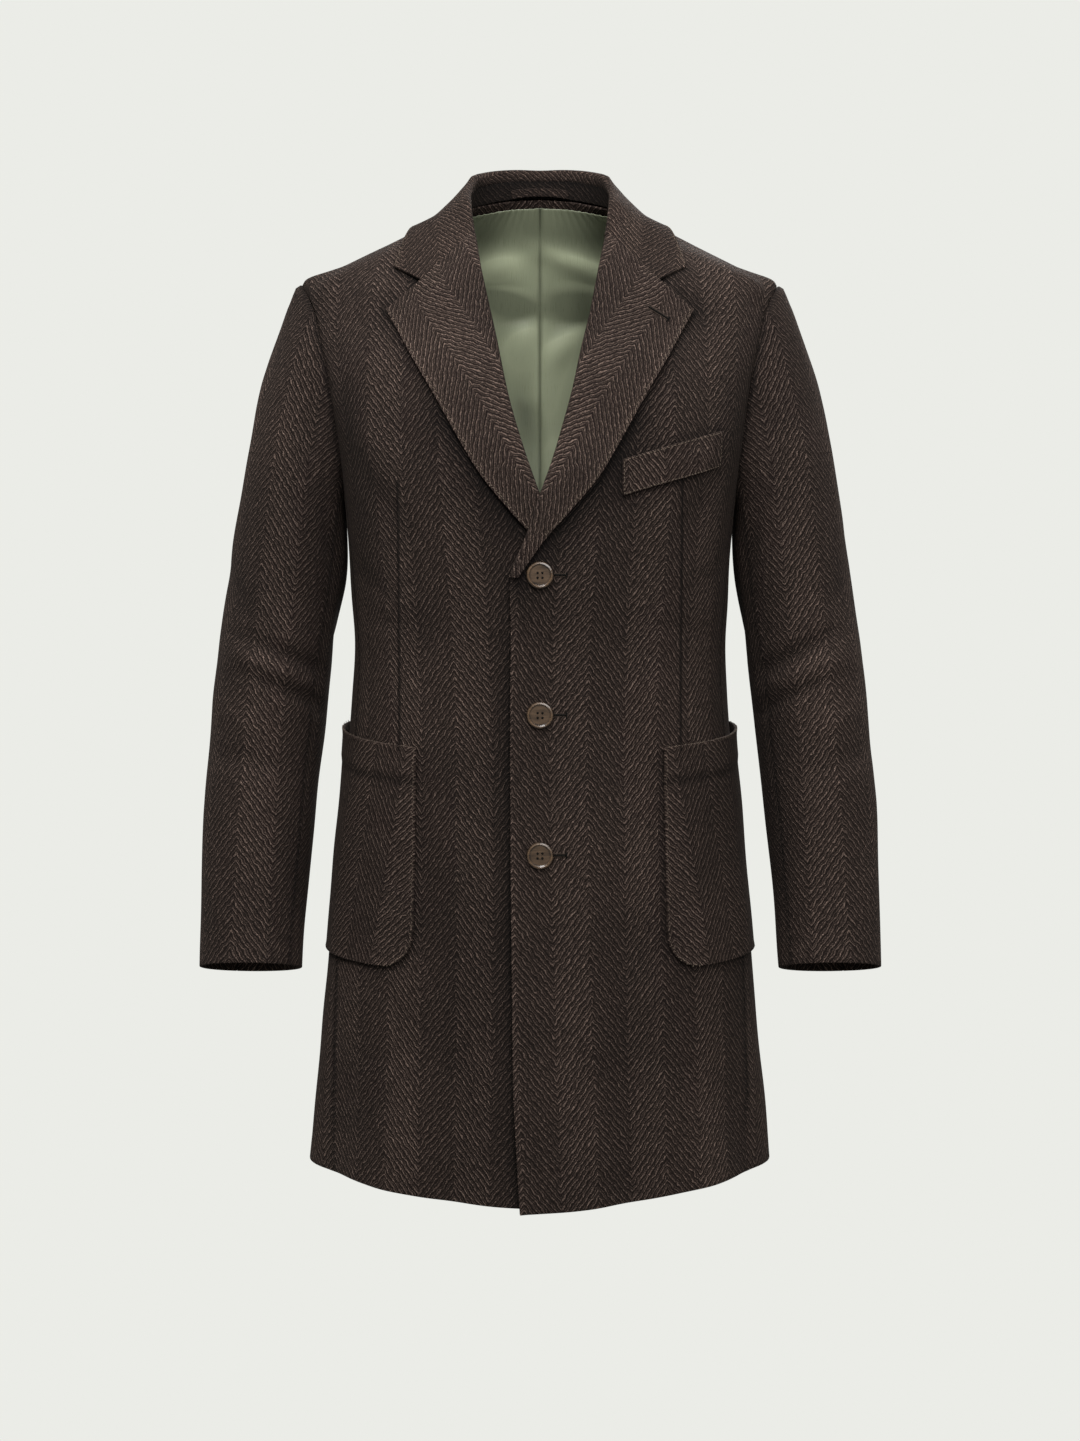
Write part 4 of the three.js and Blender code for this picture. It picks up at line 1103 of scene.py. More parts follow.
def paper_white(tree, light_strength):
    """The studio's paper: even white where it is seen, and dim where it lights the cloth."""
    seen = add_node(tree, "LightPath").outputs["Is Camera Ray"]
    glow = add_node(tree, "Emission", {0: PAPER}).outputs[0]
    dim = add_node(tree, "Emission", {0: PAPER, 1: light_strength}).outputs[0]
    return add_node(tree, "MixShader", enumerate((seen, dim, glow))).outputs[0]


def paper_material():
    material, tree, shader, _, _ = new_material("studio paper")
    tree.links.new(paper_white(tree, FLOOR_GLOW), tree.nodes["Material Output"].inputs[0])
    tree.nodes.remove(shader)
    return material


BODY_COLOURS = (0.0098, 0.0062, 0.005), (0.2, 0.142, 0.116)
BODY_WOOL = wool("body wool", *BODY_COLOURS, dart=True)
SLEEVE_WOOL = wool("sleeve wool", *BODY_COLOURS)
LAPEL_WOOL = wool(
    "lapel wool", (0.0115, 0.0074, 0.006), (0.21, 0.15, 0.122), 0.92, LAPEL_PITCH
)
# The collar wool is the lapel wool painted darker, and the collar stand and loop wools are the body
# wool painted much darker: painted shade, deepest for the stand and loop inside the neck.
COLLAR_WOOL = wool(
    "collar wool", (0.0095, 0.006, 0.0049), (0.17, 0.118, 0.094), 0.92, LAPEL_PITCH
)
STAND_WOOL = wool("collar stand wool", (0.004, 0.0027, 0.0022), (0.04, 0.028, 0.022))
LOOP_WOOL = wool("loop wool", (0.0065, 0.0042, 0.0034), (0.085, 0.058, 0.046))
LINING_SATIN = satin("lining satin", (0.014, 0.019, 0.009), (0.45, 0.49, 0.325))
HORN = horn("horn", (0.014, 0.0075, 0.004), (0.16, 0.095, 0.05))
TAN_THREAD = thread("tan thread", (0.1, 0.075, 0.055), (0.2, 0.16, 0.12))
# Near-black: the bar at a buttonhole's end, and painted shade in each buttonhole's slit and in the
# holes of each button.
DARK_THREAD_AND_HOLE_SHADE = thread("dark thread", (0.002, 0.0015, 0.0012), (0.006, 0.005, 0.004))
BROWN_THREAD = thread("brown thread", (0.02, 0.014, 0.011), (0.075, 0.055, 0.042))


# ---------------------------------------------------------------- pieces
def finished(obj, material, nodes=()):
    obj.data.materials.append(material)
    obj.data.shade_smooth()
    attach(obj, "root")
    if nodes:
        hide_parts(*nodes)
    return obj


def object_of(name, bm):
    mesh = bpy.data.meshes.new(name)
    bm.to_mesh(mesh)
    bm.free()
    obj = bpy.data.objects.new(name, mesh)
    bpy.context.scene.collection.objects.link(obj)
    return obj


def grid_mesh(points, uv, shade):
    """A grid of faces with its corners laid on the points, in metres."""
    rows, columns = points.shape[:2]
    bm = bmesh.new()
    bmesh.ops.create_grid(bm, x_segments=columns - 1, y_segments=rows - 1, size=1.0)
    places = np.array([vert.co[:2] for vert in bm.verts])
    column = np.rint((places[:, 0] + 1) / 2 * (columns - 1)).astype(int)
    row = np.rint((places[:, 1] + 1) / 2 * (rows - 1)).astype(int)
    for vert, j, i in zip(bm.verts, row, column):
        vert.co = points[j, i] * M
    bm.verts.index_update()
    dark = bm.verts.layers.float.new("shade")
    for vert, j, i in zip(bm.verts, row, column):
        vert[dark] = shade[j, i]
    layer = bm.loops.layers.uv.new("cloth")
    for face in bm.faces:
        for loop in face.loops:
            index = loop.vert.index
            loop[layer].uv = uv[row[index], column[index]] * M
    return bm


NARROWEST_FLAT = 0.0101
EDGE_ROUNDING = 0.9
ROUNDED_SHARE = 0.42


def cloth(name, points, uv, material, nodes=(), thickness=WOOL, shade=None):
    shade = np.ones(points.shape[:2]) if shade is None else shade
    obj = finished(object_of(name, grid_mesh(points, uv, shade)), material, nodes)
    wall = obj.modifiers.new("wall", "SOLIDIFY")
    wall.thickness = thickness * M
    wall.offset = 0
    wall.use_even_offset = False
    rounding = obj.modifiers.new("soft edges", "BEVEL")
    rounding.width = min(EDGE_ROUNDING, thickness * ROUNDED_SHARE) * M
    rounding.segments = 2
    rounding.limit_method = "ANGLE"
    rounding.angle_limit = math.radians(50)
    width = float(np.ptp(uv[..., 0], axis=1).max()) * M
    width = max(width, NARROWEST_FLAT)
    return obj


def mirrored(points, side):
    return points * [side, 1, 1]


# Folds of the lining, which slant down across it. Those with a negative depth lie deeper and get
# painted shade; the others get painted highlight.
LINING_WAVES = table(("x", "z", "wide", "high", "slant", "depth"), [
    (-42, -48, 26, 17, 0.2, 5.0),
    (-34, -84, 32, 17, -0.3, -4.6),
    (-18, -124, 20, 26, 0.5, 5.0),
    (40, -46, 40, 12, -0.35, 4.8),
    (42, -88, 30, 20, -0.1, -5.2),
    (24, -128, 26, 20, 0.6, 5.0),
    (8, -170, 18, 40, 0.8, 4.0),
    (-12, -200, 14, 30, -0.4, -3.0),
    (14, -240, 12, 30, 0.2, 3.0),
])


# The lining's painted light and shade: its even level, how much each fold adds and how the pools
# sit and spread; a band of painted shade across its top rows; a darker line along the middle seam.
LINING_LIGHT = {"even": 0.52, "wave": 0.17, "raised": 5, "steep": 2.1, "gentle": 0.8}
LINING_BAND = {"row": 11, "reach": 7, "dark": 0.62}
LINING_SEAM = {"reach": 1.8, "dark": 0.85}


def wave_places(wave, x, z):
    """How far places lie across and down from a fold's middle, in its own sizes."""
    across = x - wave["x"]
    return across / wave["wide"], (z - wave["z"] - wave["slant"] * across) / wave["high"]


def lining_shade(x, z, down):
    """Bright pools where the satin stands proud, dark ones in its hollows."""
    light = np.full(x.shape, LINING_LIGHT["even"])
    for wave in LINING_WAVES:
        across, off = wave_places(wave, x, z - LINING_LIGHT["raised"])
        off = off * np.where(off > 0, LINING_LIGHT["steep"], LINING_LIGHT["gentle"])
        light += LINING_LIGHT["wave"] * wave["depth"] * np.exp(-(across**2) - off**2)
    # A band of painted shade across the top rows, and a darker line along the middle seam.
    band = np.exp(-(((down - LINING_BAND["row"]) / LINING_BAND["reach"]) ** 2))
    seam = np.exp(-((x / LINING_SEAM["reach"]) ** 2))
    light *= (1 - LINING_BAND["dark"] * band) * (1 - LINING_SEAM["dark"] * seam)
    return np.clip(light, 0.12, 1.3)


def lining_rise(x, z, down, along, side):
    """How far the satin stands off: gathers under the neck, folds, and a sunk middle seam."""
    gathers = np.abs(np.sin(along * 0.9 + side)) * np.exp(-down / 8)
    folds = 0
    for wave in LINING_WAVES:
        across, off = wave_places(wave, x, z)
        folds = folds + wave["depth"] * np.exp(-(across**2) - off**2)
    seam = np.exp(-((x / 4) ** 2)) * (1.2 + 0.5 * np.sin(z / 13))
    return np.maximum(gathers * 1.2 + folds - seam, -0.6)


def body_at(side):
    return lambda angle, z: body_point(angle, z) * [side, 1, 1]


def stitches(name, rows, material):
    """Small thread stitches, each an oval at a place, lying along a way."""
    bm = bmesh.new()
    for place, way, out, length, radius in rows:
        way = Vector(way).normalized()
        cross = Vector(out).cross(way).normalized()
        turn = Matrix((way, cross, way.cross(cross))).transposed().to_4x4()
        size = Matrix.Diagonal((length / 2 * M, radius * M, radius * M * 0.8, 1))
        at = Matrix.Translation(Vector(place) * M)
        bmesh.ops.create_icosphere(bm, subdivisions=1, radius=1, matrix=at @ turn @ size)
    return finished(object_of(name, bm), material)


def along_line(line, outs, lift, pitch, length, radius, ragged=False):
    """Stitches spaced along a line of points, lying on the side that outs shows. Ragged ones
    slant across the line, no two alike."""
    line, outs = np.array(line), np.array(outs)
    gaps = np.linalg.norm(np.diff(line, axis=0), axis=1)
    run = np.concatenate([[0], np.cumsum(gaps)])
    rows = []
    for at in np.arange(pitch, run[-1] - pitch / 2, pitch):
        k = min(int(np.searchsorted(run, at)) - 1, len(line) - 2)
        t = (at - run[k]) / gaps[k]
        way = line[k + 1] - line[k]
        out = lerp(outs[k], outs[k + 1], t)
        place, size = lerp(line[k], line[k + 1], t) + out * lift, length
        if ragged:
            chance = 0.5 + 0.5 * math.sin(at * 7.3 + place[0] * 2.9)
            aside = unit(np.cross(out, way))
            way = unit(way) * (0.5 + chance) + aside * (1.1 - 0.7 * chance)
            place = place + aside * (chance - 0.5) * 1.6
            size = length * (0.55 + 0.6 * abs(math.sin(at * 3.1)))
        rows.append((place, way, out, size, radius))
    return rows


def inset_line(points, normals, column, inward, lift):
    """The line a distance in from a grid's edge column, with its outward directions."""
    other = points[:, column + (1 if column == 0 else -1)]
    way = other - points[:, column]
    way /= np.linalg.norm(way, axis=1)[:, None]
    return points[:, column] + way * inward + normals[:, column] * lift, normals[:, column]


# ---------------------------------------------------------------- camera, light and floor
PHOTO = {"height": 1441, "level_y": 480, "mm_per_px": 0.975}
SENSOR = 36
DISTANCE = 2300
LEVEL_Z = -264.2


def add_camera():
    data = bpy.data.cameras.new("camera")
    data.sensor_fit = "VERTICAL"
    data.sensor_height = SENSOR
    data.lens = SENSOR * DISTANCE / (PHOTO["height"] * PHOTO["mm_per_px"])
    data.shift_y = (PHOTO["level_y"] - PHOTO["height"] / 2) / PHOTO["height"]
    camera = bpy.data.objects.new("camera", data)
    camera.location = (0, -DISTANCE * M, LEVEL_Z * M)
    camera.rotation_euler = (math.pi / 2, 0, 0)
    bpy.context.scene.collection.objects.link(camera)
    bpy.context.scene.camera = camera


def add_light(name, place, target, size, watts):
    data = bpy.data.lights.new(name, "AREA")
    data.shape = "RECTANGLE"
    data.size, data.size_y = size
    data.energy = watts
    light = bpy.data.objects.new(name, data)
    light.location = place
    way = Vector(target) - Vector(place)
    light.rotation_euler = way.to_track_quat("-Z", "Y").to_euler()
    bpy.context.scene.collection.objects.link(light)


LIGHTS = table(("name", "place", "target", "size", "watts"), [
    ("key", (-0.7, -2.4, 2.3), (0, 0, -0.35), (1.6, 1.2), 84),
    ("fill", (0.9, -3.0, 1.0), (0, 0, -0.6), (1.6, 1.8), 54),
    ("top", (0, -0.5, 2.6), (0, 0, -0.1), (1.8, 1.0), 30),
    ("rim left", (-2.4, 0.6, 0.8), (0, 0, -0.4), (0.8, 1.8), 8),
    ("rim right", (2.4, 0.6, 0.8), (0, 0, -0.4), (0.8, 1.8), 8),
    ("back", (0.7, 3.0, 1.4), (0, 0, -0.5), (1.8, 1.8), 60),
])
FLOOR_Z = -1.45
FLOOR_HALF = 6.0


def add_studio():
    for light in LIGHTS:
        add_light(**light)
    world = bpy.data.worlds.new("studio")
    world.use_nodes = True
    tree = world.node_tree
    tree.links.new(paper_white(tree, WORLD_GLOW), tree.nodes["World Output"].inputs[0])
    bpy.context.scene.world = world
    bpy.context.scene.view_settings.view_transform = "Standard"
    bm = bmesh.new()
    bmesh.ops.create_grid(bm, x_segments=1, y_segments=1, size=FLOOR_HALF)
    bmesh.ops.translate(bm, verts=bm.verts, vec=(0, 0, FLOOR_Z))
    floor = object_of("floor", bm)
    floor.data.materials.append(paper_material())


add_camera()
add_studio()

# ---------------------------------------------------------------- the body of the coat
SIDES = table(("name", "side", "edge_x", "lift", "corner_drop"), [
    ("left", 1, over_x, overlap_lift, OVER_CORNER_DROP),
    ("right", -1, under_x, no_lift, 0),
])
FRONT_SPACING, BODY_SPACING, SLEEVE_SPACING = 4.5, 6.0, 5.0
LINING_SPACING, LOOP_SPACING, WELT_SPACING = 2.8, 2.5, 3.0
TRIM_SPACING = 3.5
TRIM_ACROSS = 2.2

# Where the stripes start on a piece, in millimetres along its width.
FRONT_STRIPES = {"left": 4.0, "right": 38.5}
SLEEVE_STRIPES = 34.5

# The shade beside an edge that lies over the cloth: its reach and its depth.
LAPEL_SHADE = (7.0, 0.85)
LAPEL_LOW_FROM = 4
LAPEL_LOW_SHADE = (26, 0.8)
POCKET_SHADE = (4.5, 0.95)
WELT_SHADE = (4.5, 0.9)
SEAM_SHADE = (2.6, 0.75)
LONG_SEAM_SHADE = (2.2, 0.75)
NOTCH_SHADE = (4.0, 0.9)
NOTCH_END = (136, -66)
OVER_EDGE_LINE = [(-25, -141, -352), (-27, -138, -640), (-18, -135, -934)]
OVER_EDGE_SHADE = (9.0, 0.88)
SLEEVE_HEAD_SHADE = (3.2, 0.6)
SLEEVE_SEAM_SHADE = (1.8, 0.55)
COLLAR_FOOT_SHADE = (2.5, 0.6)
LOOP_SHADE = (2.5, 0.5)

# Painted shade: the body is darker beside the sleeves, and the sleeves are darker beside the body,
# where each shades the other.
SIDE_DARK = 0.42
SIDE_DARK_X = (148, 188)
INNER_AT = 172
INNER_SPREAD = 42
INNER_DARK = 0.5

# Padded edges: how far in they reach, how far they stand off and how much painted highlight they
# get.
FRONT_RIM = (4.5, 1.0, 0.32)
LAPEL_RIM = (6.0, 1.5, 0.26)
POCKET_RIM = (3.5, 0.8, 0.3)
# The pocket's turned hem: how far it stands proud, and how dark the painted shade under it is and
# how far it reaches.
POCKET_HEM = {"proud": 1.1, "dark": 0.45, "reach": 1.2}
SEAM_TURN, SEAM_RAISED = 1.4, 0.4
MIDDLE_SEAM_OVERLAP = 0.3
SIDE_STRIPE_COLUMN = 2

# Stitches: how far apart, how long and how thick, and how far in from the edge they lie.
EDGE_STITCH = {"pitch": 3.4, "length": 3.4, "radius": 0.38, "ragged": True}
POCKET_STITCH = {"pitch": 3.6, "length": 3.0, "radius": 0.34, "ragged": True}
WELT_STITCH = {"pitch": 3.5, "length": 2.4, "radius": 0.4}
LAPEL_INSET, EDGE_INSET, WELT_INSET = 2.4, 1.6, 1.4
UNSTITCHED_SHARE = 0.12


def sleeve_at(side):
    return lambda around, row: sleeve_point(around, row) * [side, 1, 1]


def turned_in(start, end, columns):
    """The sleeve's seam at the armhole, turned in beside the body's edge."""
    row = []
    for t in steps(columns):
        angle, z = armhole_place(lerp(start, end, t))
        point = body_point(angle, z) + body_normal(angle, z) * SEAM_RAISED
        centre = np.array([point[0], 0, ARMHOLE["middle_z"]])
        row.append(point + unit(centre - point) * SEAM_TURN)
    return np.array([row])


def add_sleeve(name, start, end, columns, side):
    coarse = np.concatenate([turned_in(start, end, columns), sleeve_points(start, end, columns)])
    points, uv = refined_cloth(
        coarse, SLEEVE_SPACING, columns // 2, SLEEVE_BLEND_ROWS, SLEEVE_STRIPES
    )
    rows, across = points.shape[:2]
    centre = sleeve_ring(0, SLEEVE_ROWS / 2) + sleeve_ring(180, SLEEVE_ROWS / 2)
    facing = middle_of(points) - centre / 2
    points = mirrored(points, side)
    normals = normals_of(points, facing * [side, 1, 1])
    points, shade = creased(points, normals, side, SLEEVE_CREASES, sleeve_at(side))
    around = lerp(start, end, np.arange(across) / (across - 1))
    # Painted shade on the sleeve's inner side beside the body, fading out at its top and at the
    # cuff.
    inner = np.abs((around + 360) % 360 - INNER_AT) / INNER_SPREAD
    down = np.arange(rows)[:, None] / rows
    beside = smooth(down, 0.12, 0.35) * (1 - smooth(down, 0.8, 1))
    shade = shade * (1 - INNER_DARK * np.exp(-(inner**2)) * beside)
    seams = [(points[::3, end], *SLEEVE_SEAM_SHADE) for end in (0, -1)]
    shade = shade * shaded(points, [(points[1, ::2], *SLEEVE_HEAD_SHADE), *seams])
    full = f"{name}_{'left' if side > 0 else 'right'}"
    cloth(full + "_cloth", points, uv, SLEEVE_WOOL, [full], shade=shade)


def body_piece(coarse, facing, side, spacing, column=0, top_row=0, start=0.0, edges=()):
    """A creased piece of the body, striped along a column, with painted shade beside edges over it
    and beside the sleeves.
    """
    points, uv = refined_cloth(coarse, spacing, column, top_row, start)
    points = mirrored(points, side)
    points, shade = creased(
        points, normals_of(points, facing), side, BODY_CREASES, body_at(side)
    )
    normals = normals_of(points, facing)
    shade = shade * shaded(points, edges)
    # Painted shade on the body's sides beside the sleeves, at the heights where the sleeves hang.
    beside_sleeve = smooth(np.abs(points[..., 0]), *SIDE_DARK_X) * (points[..., 1] < 20)
    height = smooth(points[..., 2], -700, -420) * (1 - smooth(points[..., 2], -230, -120))
    shade = shade * (1 - SIDE_DARK * beside_sleeve * height)
    return points, normals, uv, shade


def seam_shades(y, corner, side):
    """The shades beside a long seam and beside the armhole above it."""
    seam = np.array([body_point(*place) for place in seam_places(y, corner)])
    armhole = np.array([body_point(*place) for place in armhole_places(corner)])
    return (mirrored(seam, side), *LONG_SEAM_SHADE), (mirrored(armhole, side), *SEAM_SHADE)


def edge_stitches(name, runs, stitch):
    """Rows of stitches along lines of points, each with its outward directions and lift."""
    rows = []
    for run in runs:
        rows += along_line(*run, **stitch)
    stitches(name, rows, TAN_THREAD)


for row in SIDES:
    side, name, lift = row["side"], row["name"], row["lift"]
    lapel = lapel_points(lift)
    pocket = pocket_points()
    lapel_line = mirrored(lapel[:, -1], side)
    notch_line = mirrored(lapel[0, ROLL_STEPS + GORGE_STEPS :], side)
    under_notch = np.array([at_x(*place, lift) for place in ((NOTCH_X, NOTCH_Z), NOTCH_END)])
    pocket_line = np.concatenate([pocket[:0:-1, 0], pocket[-1], pocket[::-1, -1]])
    pocket_shade = (mirrored(pocket_line, side), *POCKET_SHADE)
    front_seam, front_armhole = seam_shades(FRONT_SEAM_Y, FRONT_CORNER, side)
    back_seam, back_armhole = seam_shades(BACK_SEAM_Y, BACK_CORNER, side)
    over = [
        (lapel_line, *LAPEL_SHADE), (notch_line, *LAPEL_SHADE), pocket_shade, front_armhole,
        (lapel_line[LAPEL_LOW_FROM:], *LAPEL_LOW_SHADE), front_seam,
        (mirrored(under_notch, side), *NOTCH_SHADE),
    ]
    if side < 0:
        over.append((np.array(OVER_EDGE_LINE), *OVER_EDGE_SHADE))
    else:
        welt = welt_points()
        welt_line = np.concatenate([welt[0], welt[::-1, -1], welt[-1, ::-1], welt[:, 0][::-1]])
        over.append((welt_line, *WELT_SHADE))
    points, normals, uv, shade = body_piece(
        on_body(front_places(row["edge_x"], row["corner_drop"]), lift), (0, -1, 0), side,
        FRONT_SPACING, FRONT_COLUMNS, len(NECK_ZS) + len(ROLL_ZS) - 2, FRONT_STRIPES[name], over,
    )
    if side > 0:
        below = points[..., 2] < BREAK_Z
        # The over front's padded edge, with a painted highlight along it.
        lifted, lit = rimmed(points, normals, shade, points[:, -1], *FRONT_RIM)
        points = np.where(below[..., None], lifted, points)
        shade = np.where(below, lit, shade)
    cloth(f"front_{name}_cloth", points, uv, BODY_WOOL, [f"front_{name}"], shade=shade)

    points, normals, uv, shade = body_piece(
        on_body(side_places(), no_lift), (side, 0, 0), side, BODY_SPACING, SIDE_STRIPE_COLUMN,
        edges=[pocket_shade, front_seam, back_seam],
    )
    cloth(f"side_{name}_cloth", points, uv, BODY_WOOL, [f"side_{name}"], shade=shade)

    points, normals, uv, shade = body_piece(
        on_body(back_places(), no_lift), (0, 1, 0), side, BODY_SPACING, BACK_COLUMNS,
        edges=[back_armhole, back_seam],
    )
    points[:, -1, 0] = -MIDDLE_SEAM_OVERLAP * side
    cloth(f"back_{name}_cloth", points, uv, BODY_WOOL, [f"back_{name}"], shade=shade)

    points = mirrored(refined(lining_points(), LINING_SPACING), side)
    normals = normals_of(points, (0, 1, 0))
    down, along = np.arange(points.shape[0])[:, None], np.arange(points.shape[1])
    x, z = points[..., 0], points[..., 2]
    points = points - normals * lining_rise(x, z, down, along, side)[..., None]
    cloth(
        f"lining_{name}", points, edge_uv(points, -1), LINING_SATIN,
        [f"lining_back_{name}"], thickness=SATIN, shade=lining_shade(x, z, down),
    )

    add_sleeve("sleeve_top", ELBOW_SEAM, FOREARM_SEAM, TOP_COLUMNS, side)
    add_sleeve("sleeve_under", FOREARM_SEAM, ELBOW_SEAM + 360, UNDER_COLUMNS, side)

    corner = ROLL_STEPS + GORGE_STEPS
    points = mirrored(refined(lapel, TRIM_SPACING, [corner], TRIM_ACROSS), side)
    points, shade = creased(
        points, normals_of(points, (0, -1, 0)), side, BODY_CREASES, body_at(side)
    )
    normals = normals_of(points, (0, -1, 0))
    # The lapel's padded edge, with a painted highlight along it.
    points, shade = rimmed(
        points, normals, shade, points[: -len(points) // 6, -1], *LAPEL_RIM
    )
    cloth(
        f"lapel_{name}_cloth", points, edge_uv(points, -1), LAPEL_WOOL,
        [f"lapel_{name}"], shade=shade,
    )
    line, outs = inset_line(points, normals, points.shape[1] - 1, LAPEL_INSET, WOOL / 2 - 0.1)
    line = line[: -int(len(line) * UNSTITCHED_SHARE)]
    edge_stitches(f"lapel_{name}_edge_stitches", [(line, outs, 0)], EDGE_STITCH)
    if side > 0:
        lapel_shape = points, normals

    points, normals, uv, shade = body_piece(
        pocket, (side * 0.6, -1, 0), side, TRIM_SPACING, start=-POCKET["front_x"]
    )
    hem = int(points.shape[0] * POCKET["hem"] / (POCKET["top_z"] - POCKET["bottom_z"]))
    down = np.arange(points.shape[0])[:, None]
    proud = POCKET_HEM["proud"] * (1 - smooth(down, hem - 1, hem + 1))
    points = points + normals * proud[..., None]
    # Painted shade under the turned hem.
    under_hem = np.exp(-(((down - hem - 1) / POCKET_HEM["reach"]) ** 2))
    shade = shade * (1 - POCKET_HEM["dark"] * under_hem)
    # The pocket's padded outline, with a painted highlight along it.
    outline = np.concatenate([points[::-1, 0], points[0], points[:, -1]])
    points, shade = rimmed(points, normals, shade, outline, *POCKET_RIM)
    cloth(
        f"pocket_{name}_cloth", points, uv, BODY_WOOL, [f"patch_pocket_{name}"],
        shade=shade,
    )
    runs = [
        (*inset_line(points, normals, column, EDGE_INSET, WOOL / 2), 0)
        for column in (0, points.shape[1] - 1)
    ]
    runs.append((points[0], normals[0], WOOL / 2 - 0.3))
    edge_stitches(f"pocket_{name}_stitches", runs, POCKET_STITCH)

# ---------------------------------------------------------------- collar
coarse = both_sides([collar_section(at) for at in steps(COLLAR_STATIONS)])
points, uv = refined_cloth(
    coarse, TRIM_SPACING, ROLL_STEPS, hard_columns=[ROLL_STEPS + 1 + GORGE_STEPS],
    across=TRIM_ACROSS,
)
normals = normals_of(points, middle_of(points) * [0, 1, 0])
cloth(
    "collar_cloth", points, uv, COLLAR_WOOL, ["collar"],
    shade=shaded(points, [(points[:, 0], *COLLAR_FOOT_SHADE)]),
)
runs = [(*inset_line(points, normals, points.shape[1] - 1, EDGE_INSET, WOOL / 2), 0)]
edge_stitches("collar_edge_stitches", runs, EDGE_STITCH)

points = refined(stand_points(), TRIM_SPACING)
loop = refined(loop_points(), LOOP_SPACING)
over = [(points[:, -1], *COLLAR_FOOT_SHADE)] + [(loop[:, end], *LOOP_SHADE) for end in (0, -1)]
cloth(
    "collar_stand_cloth", points, edge_uv(points, 0), STAND_WOOL,
    ["collar_stand"], shade=shaded(points, over),
)
cloth(
    "hanger_loop_cloth", loop, edge_uv(loop, 0), LOOP_WOOL, ["hanger_loop"],
    thickness=LOOP["thickness"],
)

# ---------------------------------------------------------------- welt, buttons, buttonholes
points, normals, uv, shade = body_piece(
    welt_points(), (0, -1, 0), 1, WELT_SPACING, start=-WELT["left_x"]
)
cloth(
    "chest_welt_cloth", points, uv, BODY_WOOL, ["chest_welt"],
    thickness=WELT["thickness"], shade=shade,
)
half_wall = WELT["thickness"] / 2
runs = [
    (*inset_line(points, normals, column, WELT_INSET, half_wall), 0)
    for column in (0, points.shape[1] - 1)
]
for end, beside in ((0, 1), (-1, -2)):
    inward = points[beside] - points[end]
    inward = inward / np.linalg.norm(inward, axis=1)[:, None]
    runs.append((points[end] + inward * WELT_INSET, normals[end], half_wall))
edge_stitches("chest_welt_stitches", runs, WELT_STITCH)


FACES_FRONT = -0.4
HOLE_X, HOLE_LENGTH = 12.5, 10.5
LAPEL_HOLE, LAPEL_HOLE_LENGTH = ((101.5, -104), (119.5, -115.5)), 20
THREAD_REACH, THREAD_DOT, THREAD_DEPTH = 2.2, 2.6, 0.7

# Each stitch of a buttonhole: its length, how thick it is and how high it lies.
# The slit's near-black stitches stand for the painted shade in the cut.
HOLE_SLIT = (2.8, 1.0, 0.5)
HOLE_SIDE = (1.7, 0.5, 0.35)
HOLE_BAR = (1.6, 0.8, 0.45)
HOLE_SIDES = (-1.35, 1.35)
HOLE_BAR_HALF = 2.6


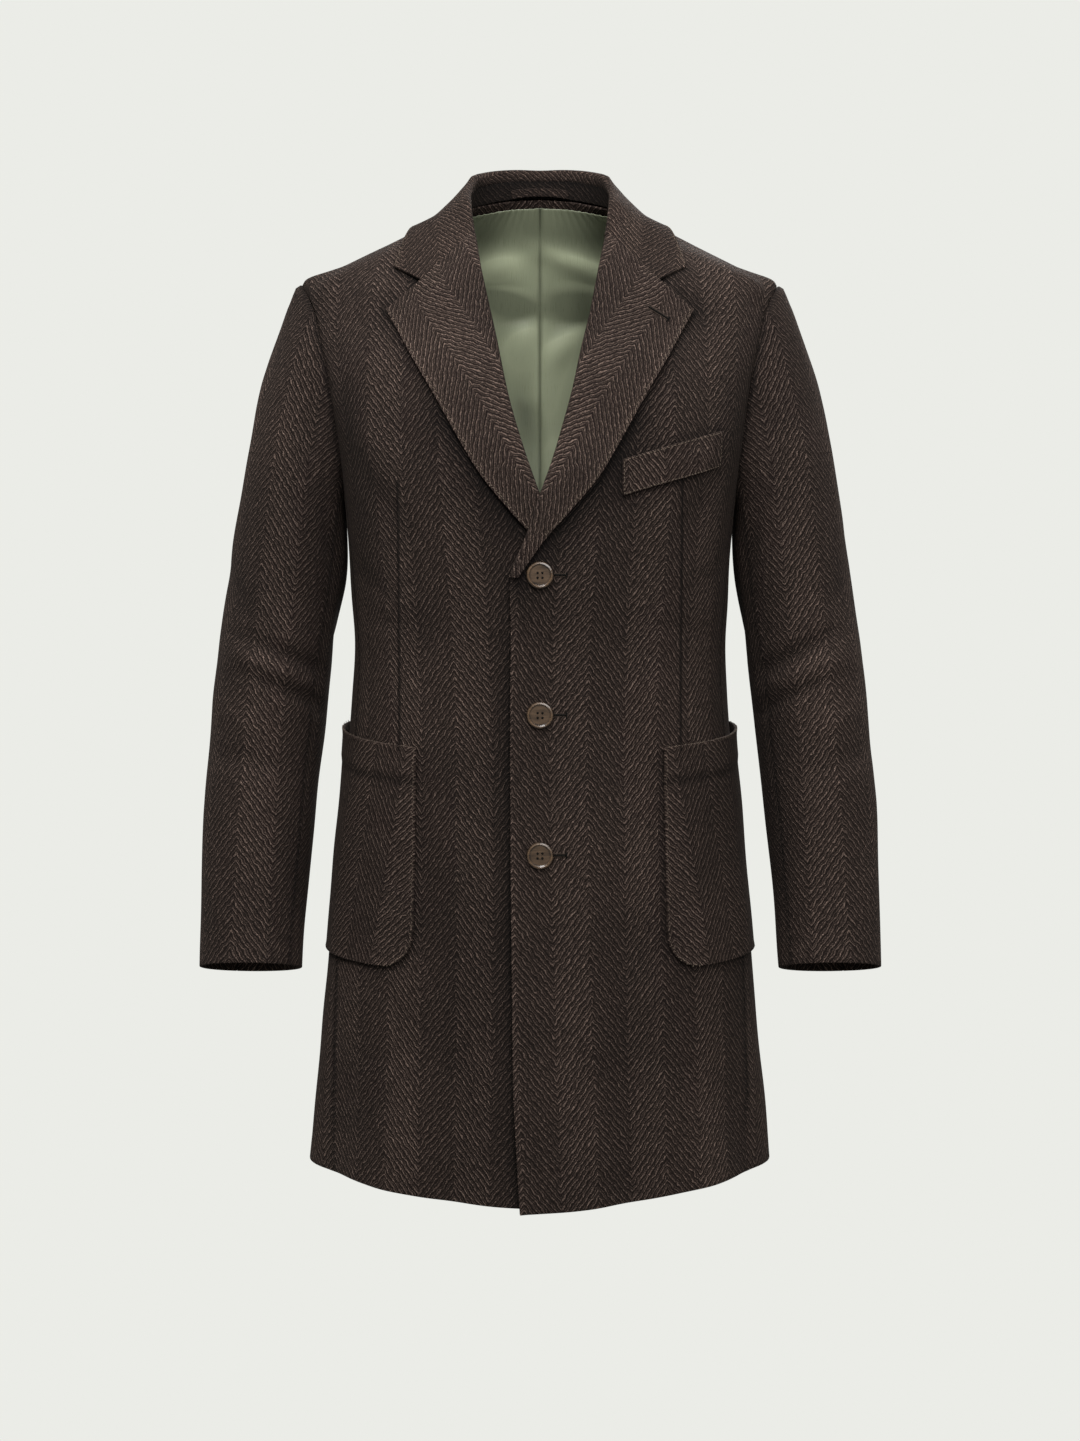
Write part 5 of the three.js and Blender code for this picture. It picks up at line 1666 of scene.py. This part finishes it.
def buttonhole(name, place_at, length):
    """A slit of near-black stitches, standing for the painted shade in the cut, between two rows of
    close stitches, with a bar across its end. place_at gives the place and outward direction at a
    distance along the slit and one beside it."""
    slit, edges = [], []
    step = 0.3

    def stitch(rows, along, beside, across, size, radius, lift):
        place, out = place_at(along, beside)
        ahead = place_at(along + step * (not across), beside + step * across)[0]
        rows.append((place + out * lift, ahead - place, out, size, radius))

    for along in np.arange(0.5, length, 1.0):
        stitch(slit, along, 0, False, *HOLE_SLIT)
        for beside in HOLE_SIDES:
            stitch(edges, along, beside, True, *HOLE_SIDE)
    for beside in np.arange(-HOLE_BAR_HALF, HOLE_BAR_HALF + 0.1, 0.8):
        stitch(slit, length + 0.8, beside, True, *HOLE_BAR)
    stitches(f"{name}_slit", slit, DARK_THREAD_AND_HOLE_SHADE)
    stitches(f"{name}_stitches", edges, BROWN_THREAD)


def on_front(x, z):
    """Places on the face of the over front, from a point on it."""
    def place_at(along, beside):
        out = body_normal(*place_of_x(x + along, z + beside))
        return at_x(x + along, z + beside, lambda a, b: overlap_lift(a, b) + WOOL / 2), out
    return place_at


def on_lapel(start, end):
    """Places on the face of the left lapel, between two points as seen from the front."""
    points, normals = lapel_shape
    start = np.array(start)
    way = unit(end - start)
    outer = normals[..., 1] <= FACES_FRONT

    def place_at(along, beside):
        flat = start + way * along + np.array([-way[1], way[0]]) * beside
        away = np.hypot(points[..., 0] - flat[0], points[..., 2] - flat[1])
        away = np.where(outer, away, np.inf)
        j, i = np.unravel_index(np.argmin(away), away.shape)
        out = normals[j, i]
        off = points[j, i] - [flat[0], 0, flat[1]]
        depth = (off @ out) / out[1]
        return np.array([flat[0], depth, flat[1]]) + out * (WOOL / 2), out
    return place_at



for number in range(BUTTON["count"]):
    z = BUTTON["top_z"] - number * BUTTON["pitch"]
    buttonhole(f"buttonhole_{number + 1}", on_front(HOLE_X, z), HOLE_LENGTH)
    out = body_normal(*place_of_x(0, z))
    height = WOOL / 2 + BUTTON["thickness"] - THREAD_DEPTH
    middle = at_x(0, z, lambda a, b: overlap_lift(a, b) + height)
    across = unit(np.cross(out, [0, 0, 1]))
    # Four near-black dots over the button's holes: the thread, and painted shade in the holes.
    rows = [
        (middle + across * beside * THREAD_REACH + np.array([0, 0, above * THREAD_REACH]),
         across, out, THREAD_DOT, THREAD_DOT / 2)
        for beside in (-1, 1) for above in (-1, 1)
    ]
    stitches(f"button_{number + 1}_thread", rows, DARK_THREAD_AND_HOLE_SHADE)

buttonhole("lapel_buttonhole", on_lapel(*LAPEL_HOLE), LAPEL_HOLE_LENGTH)

button_names = [f"button_{number + 1}" for number in range(BUTTON["count"])]
for obj in bpy.context.scene.objects:
    if obj.name.split(".")[0] in button_names:
        for slot in obj.material_slots:
            slot.material = HORN
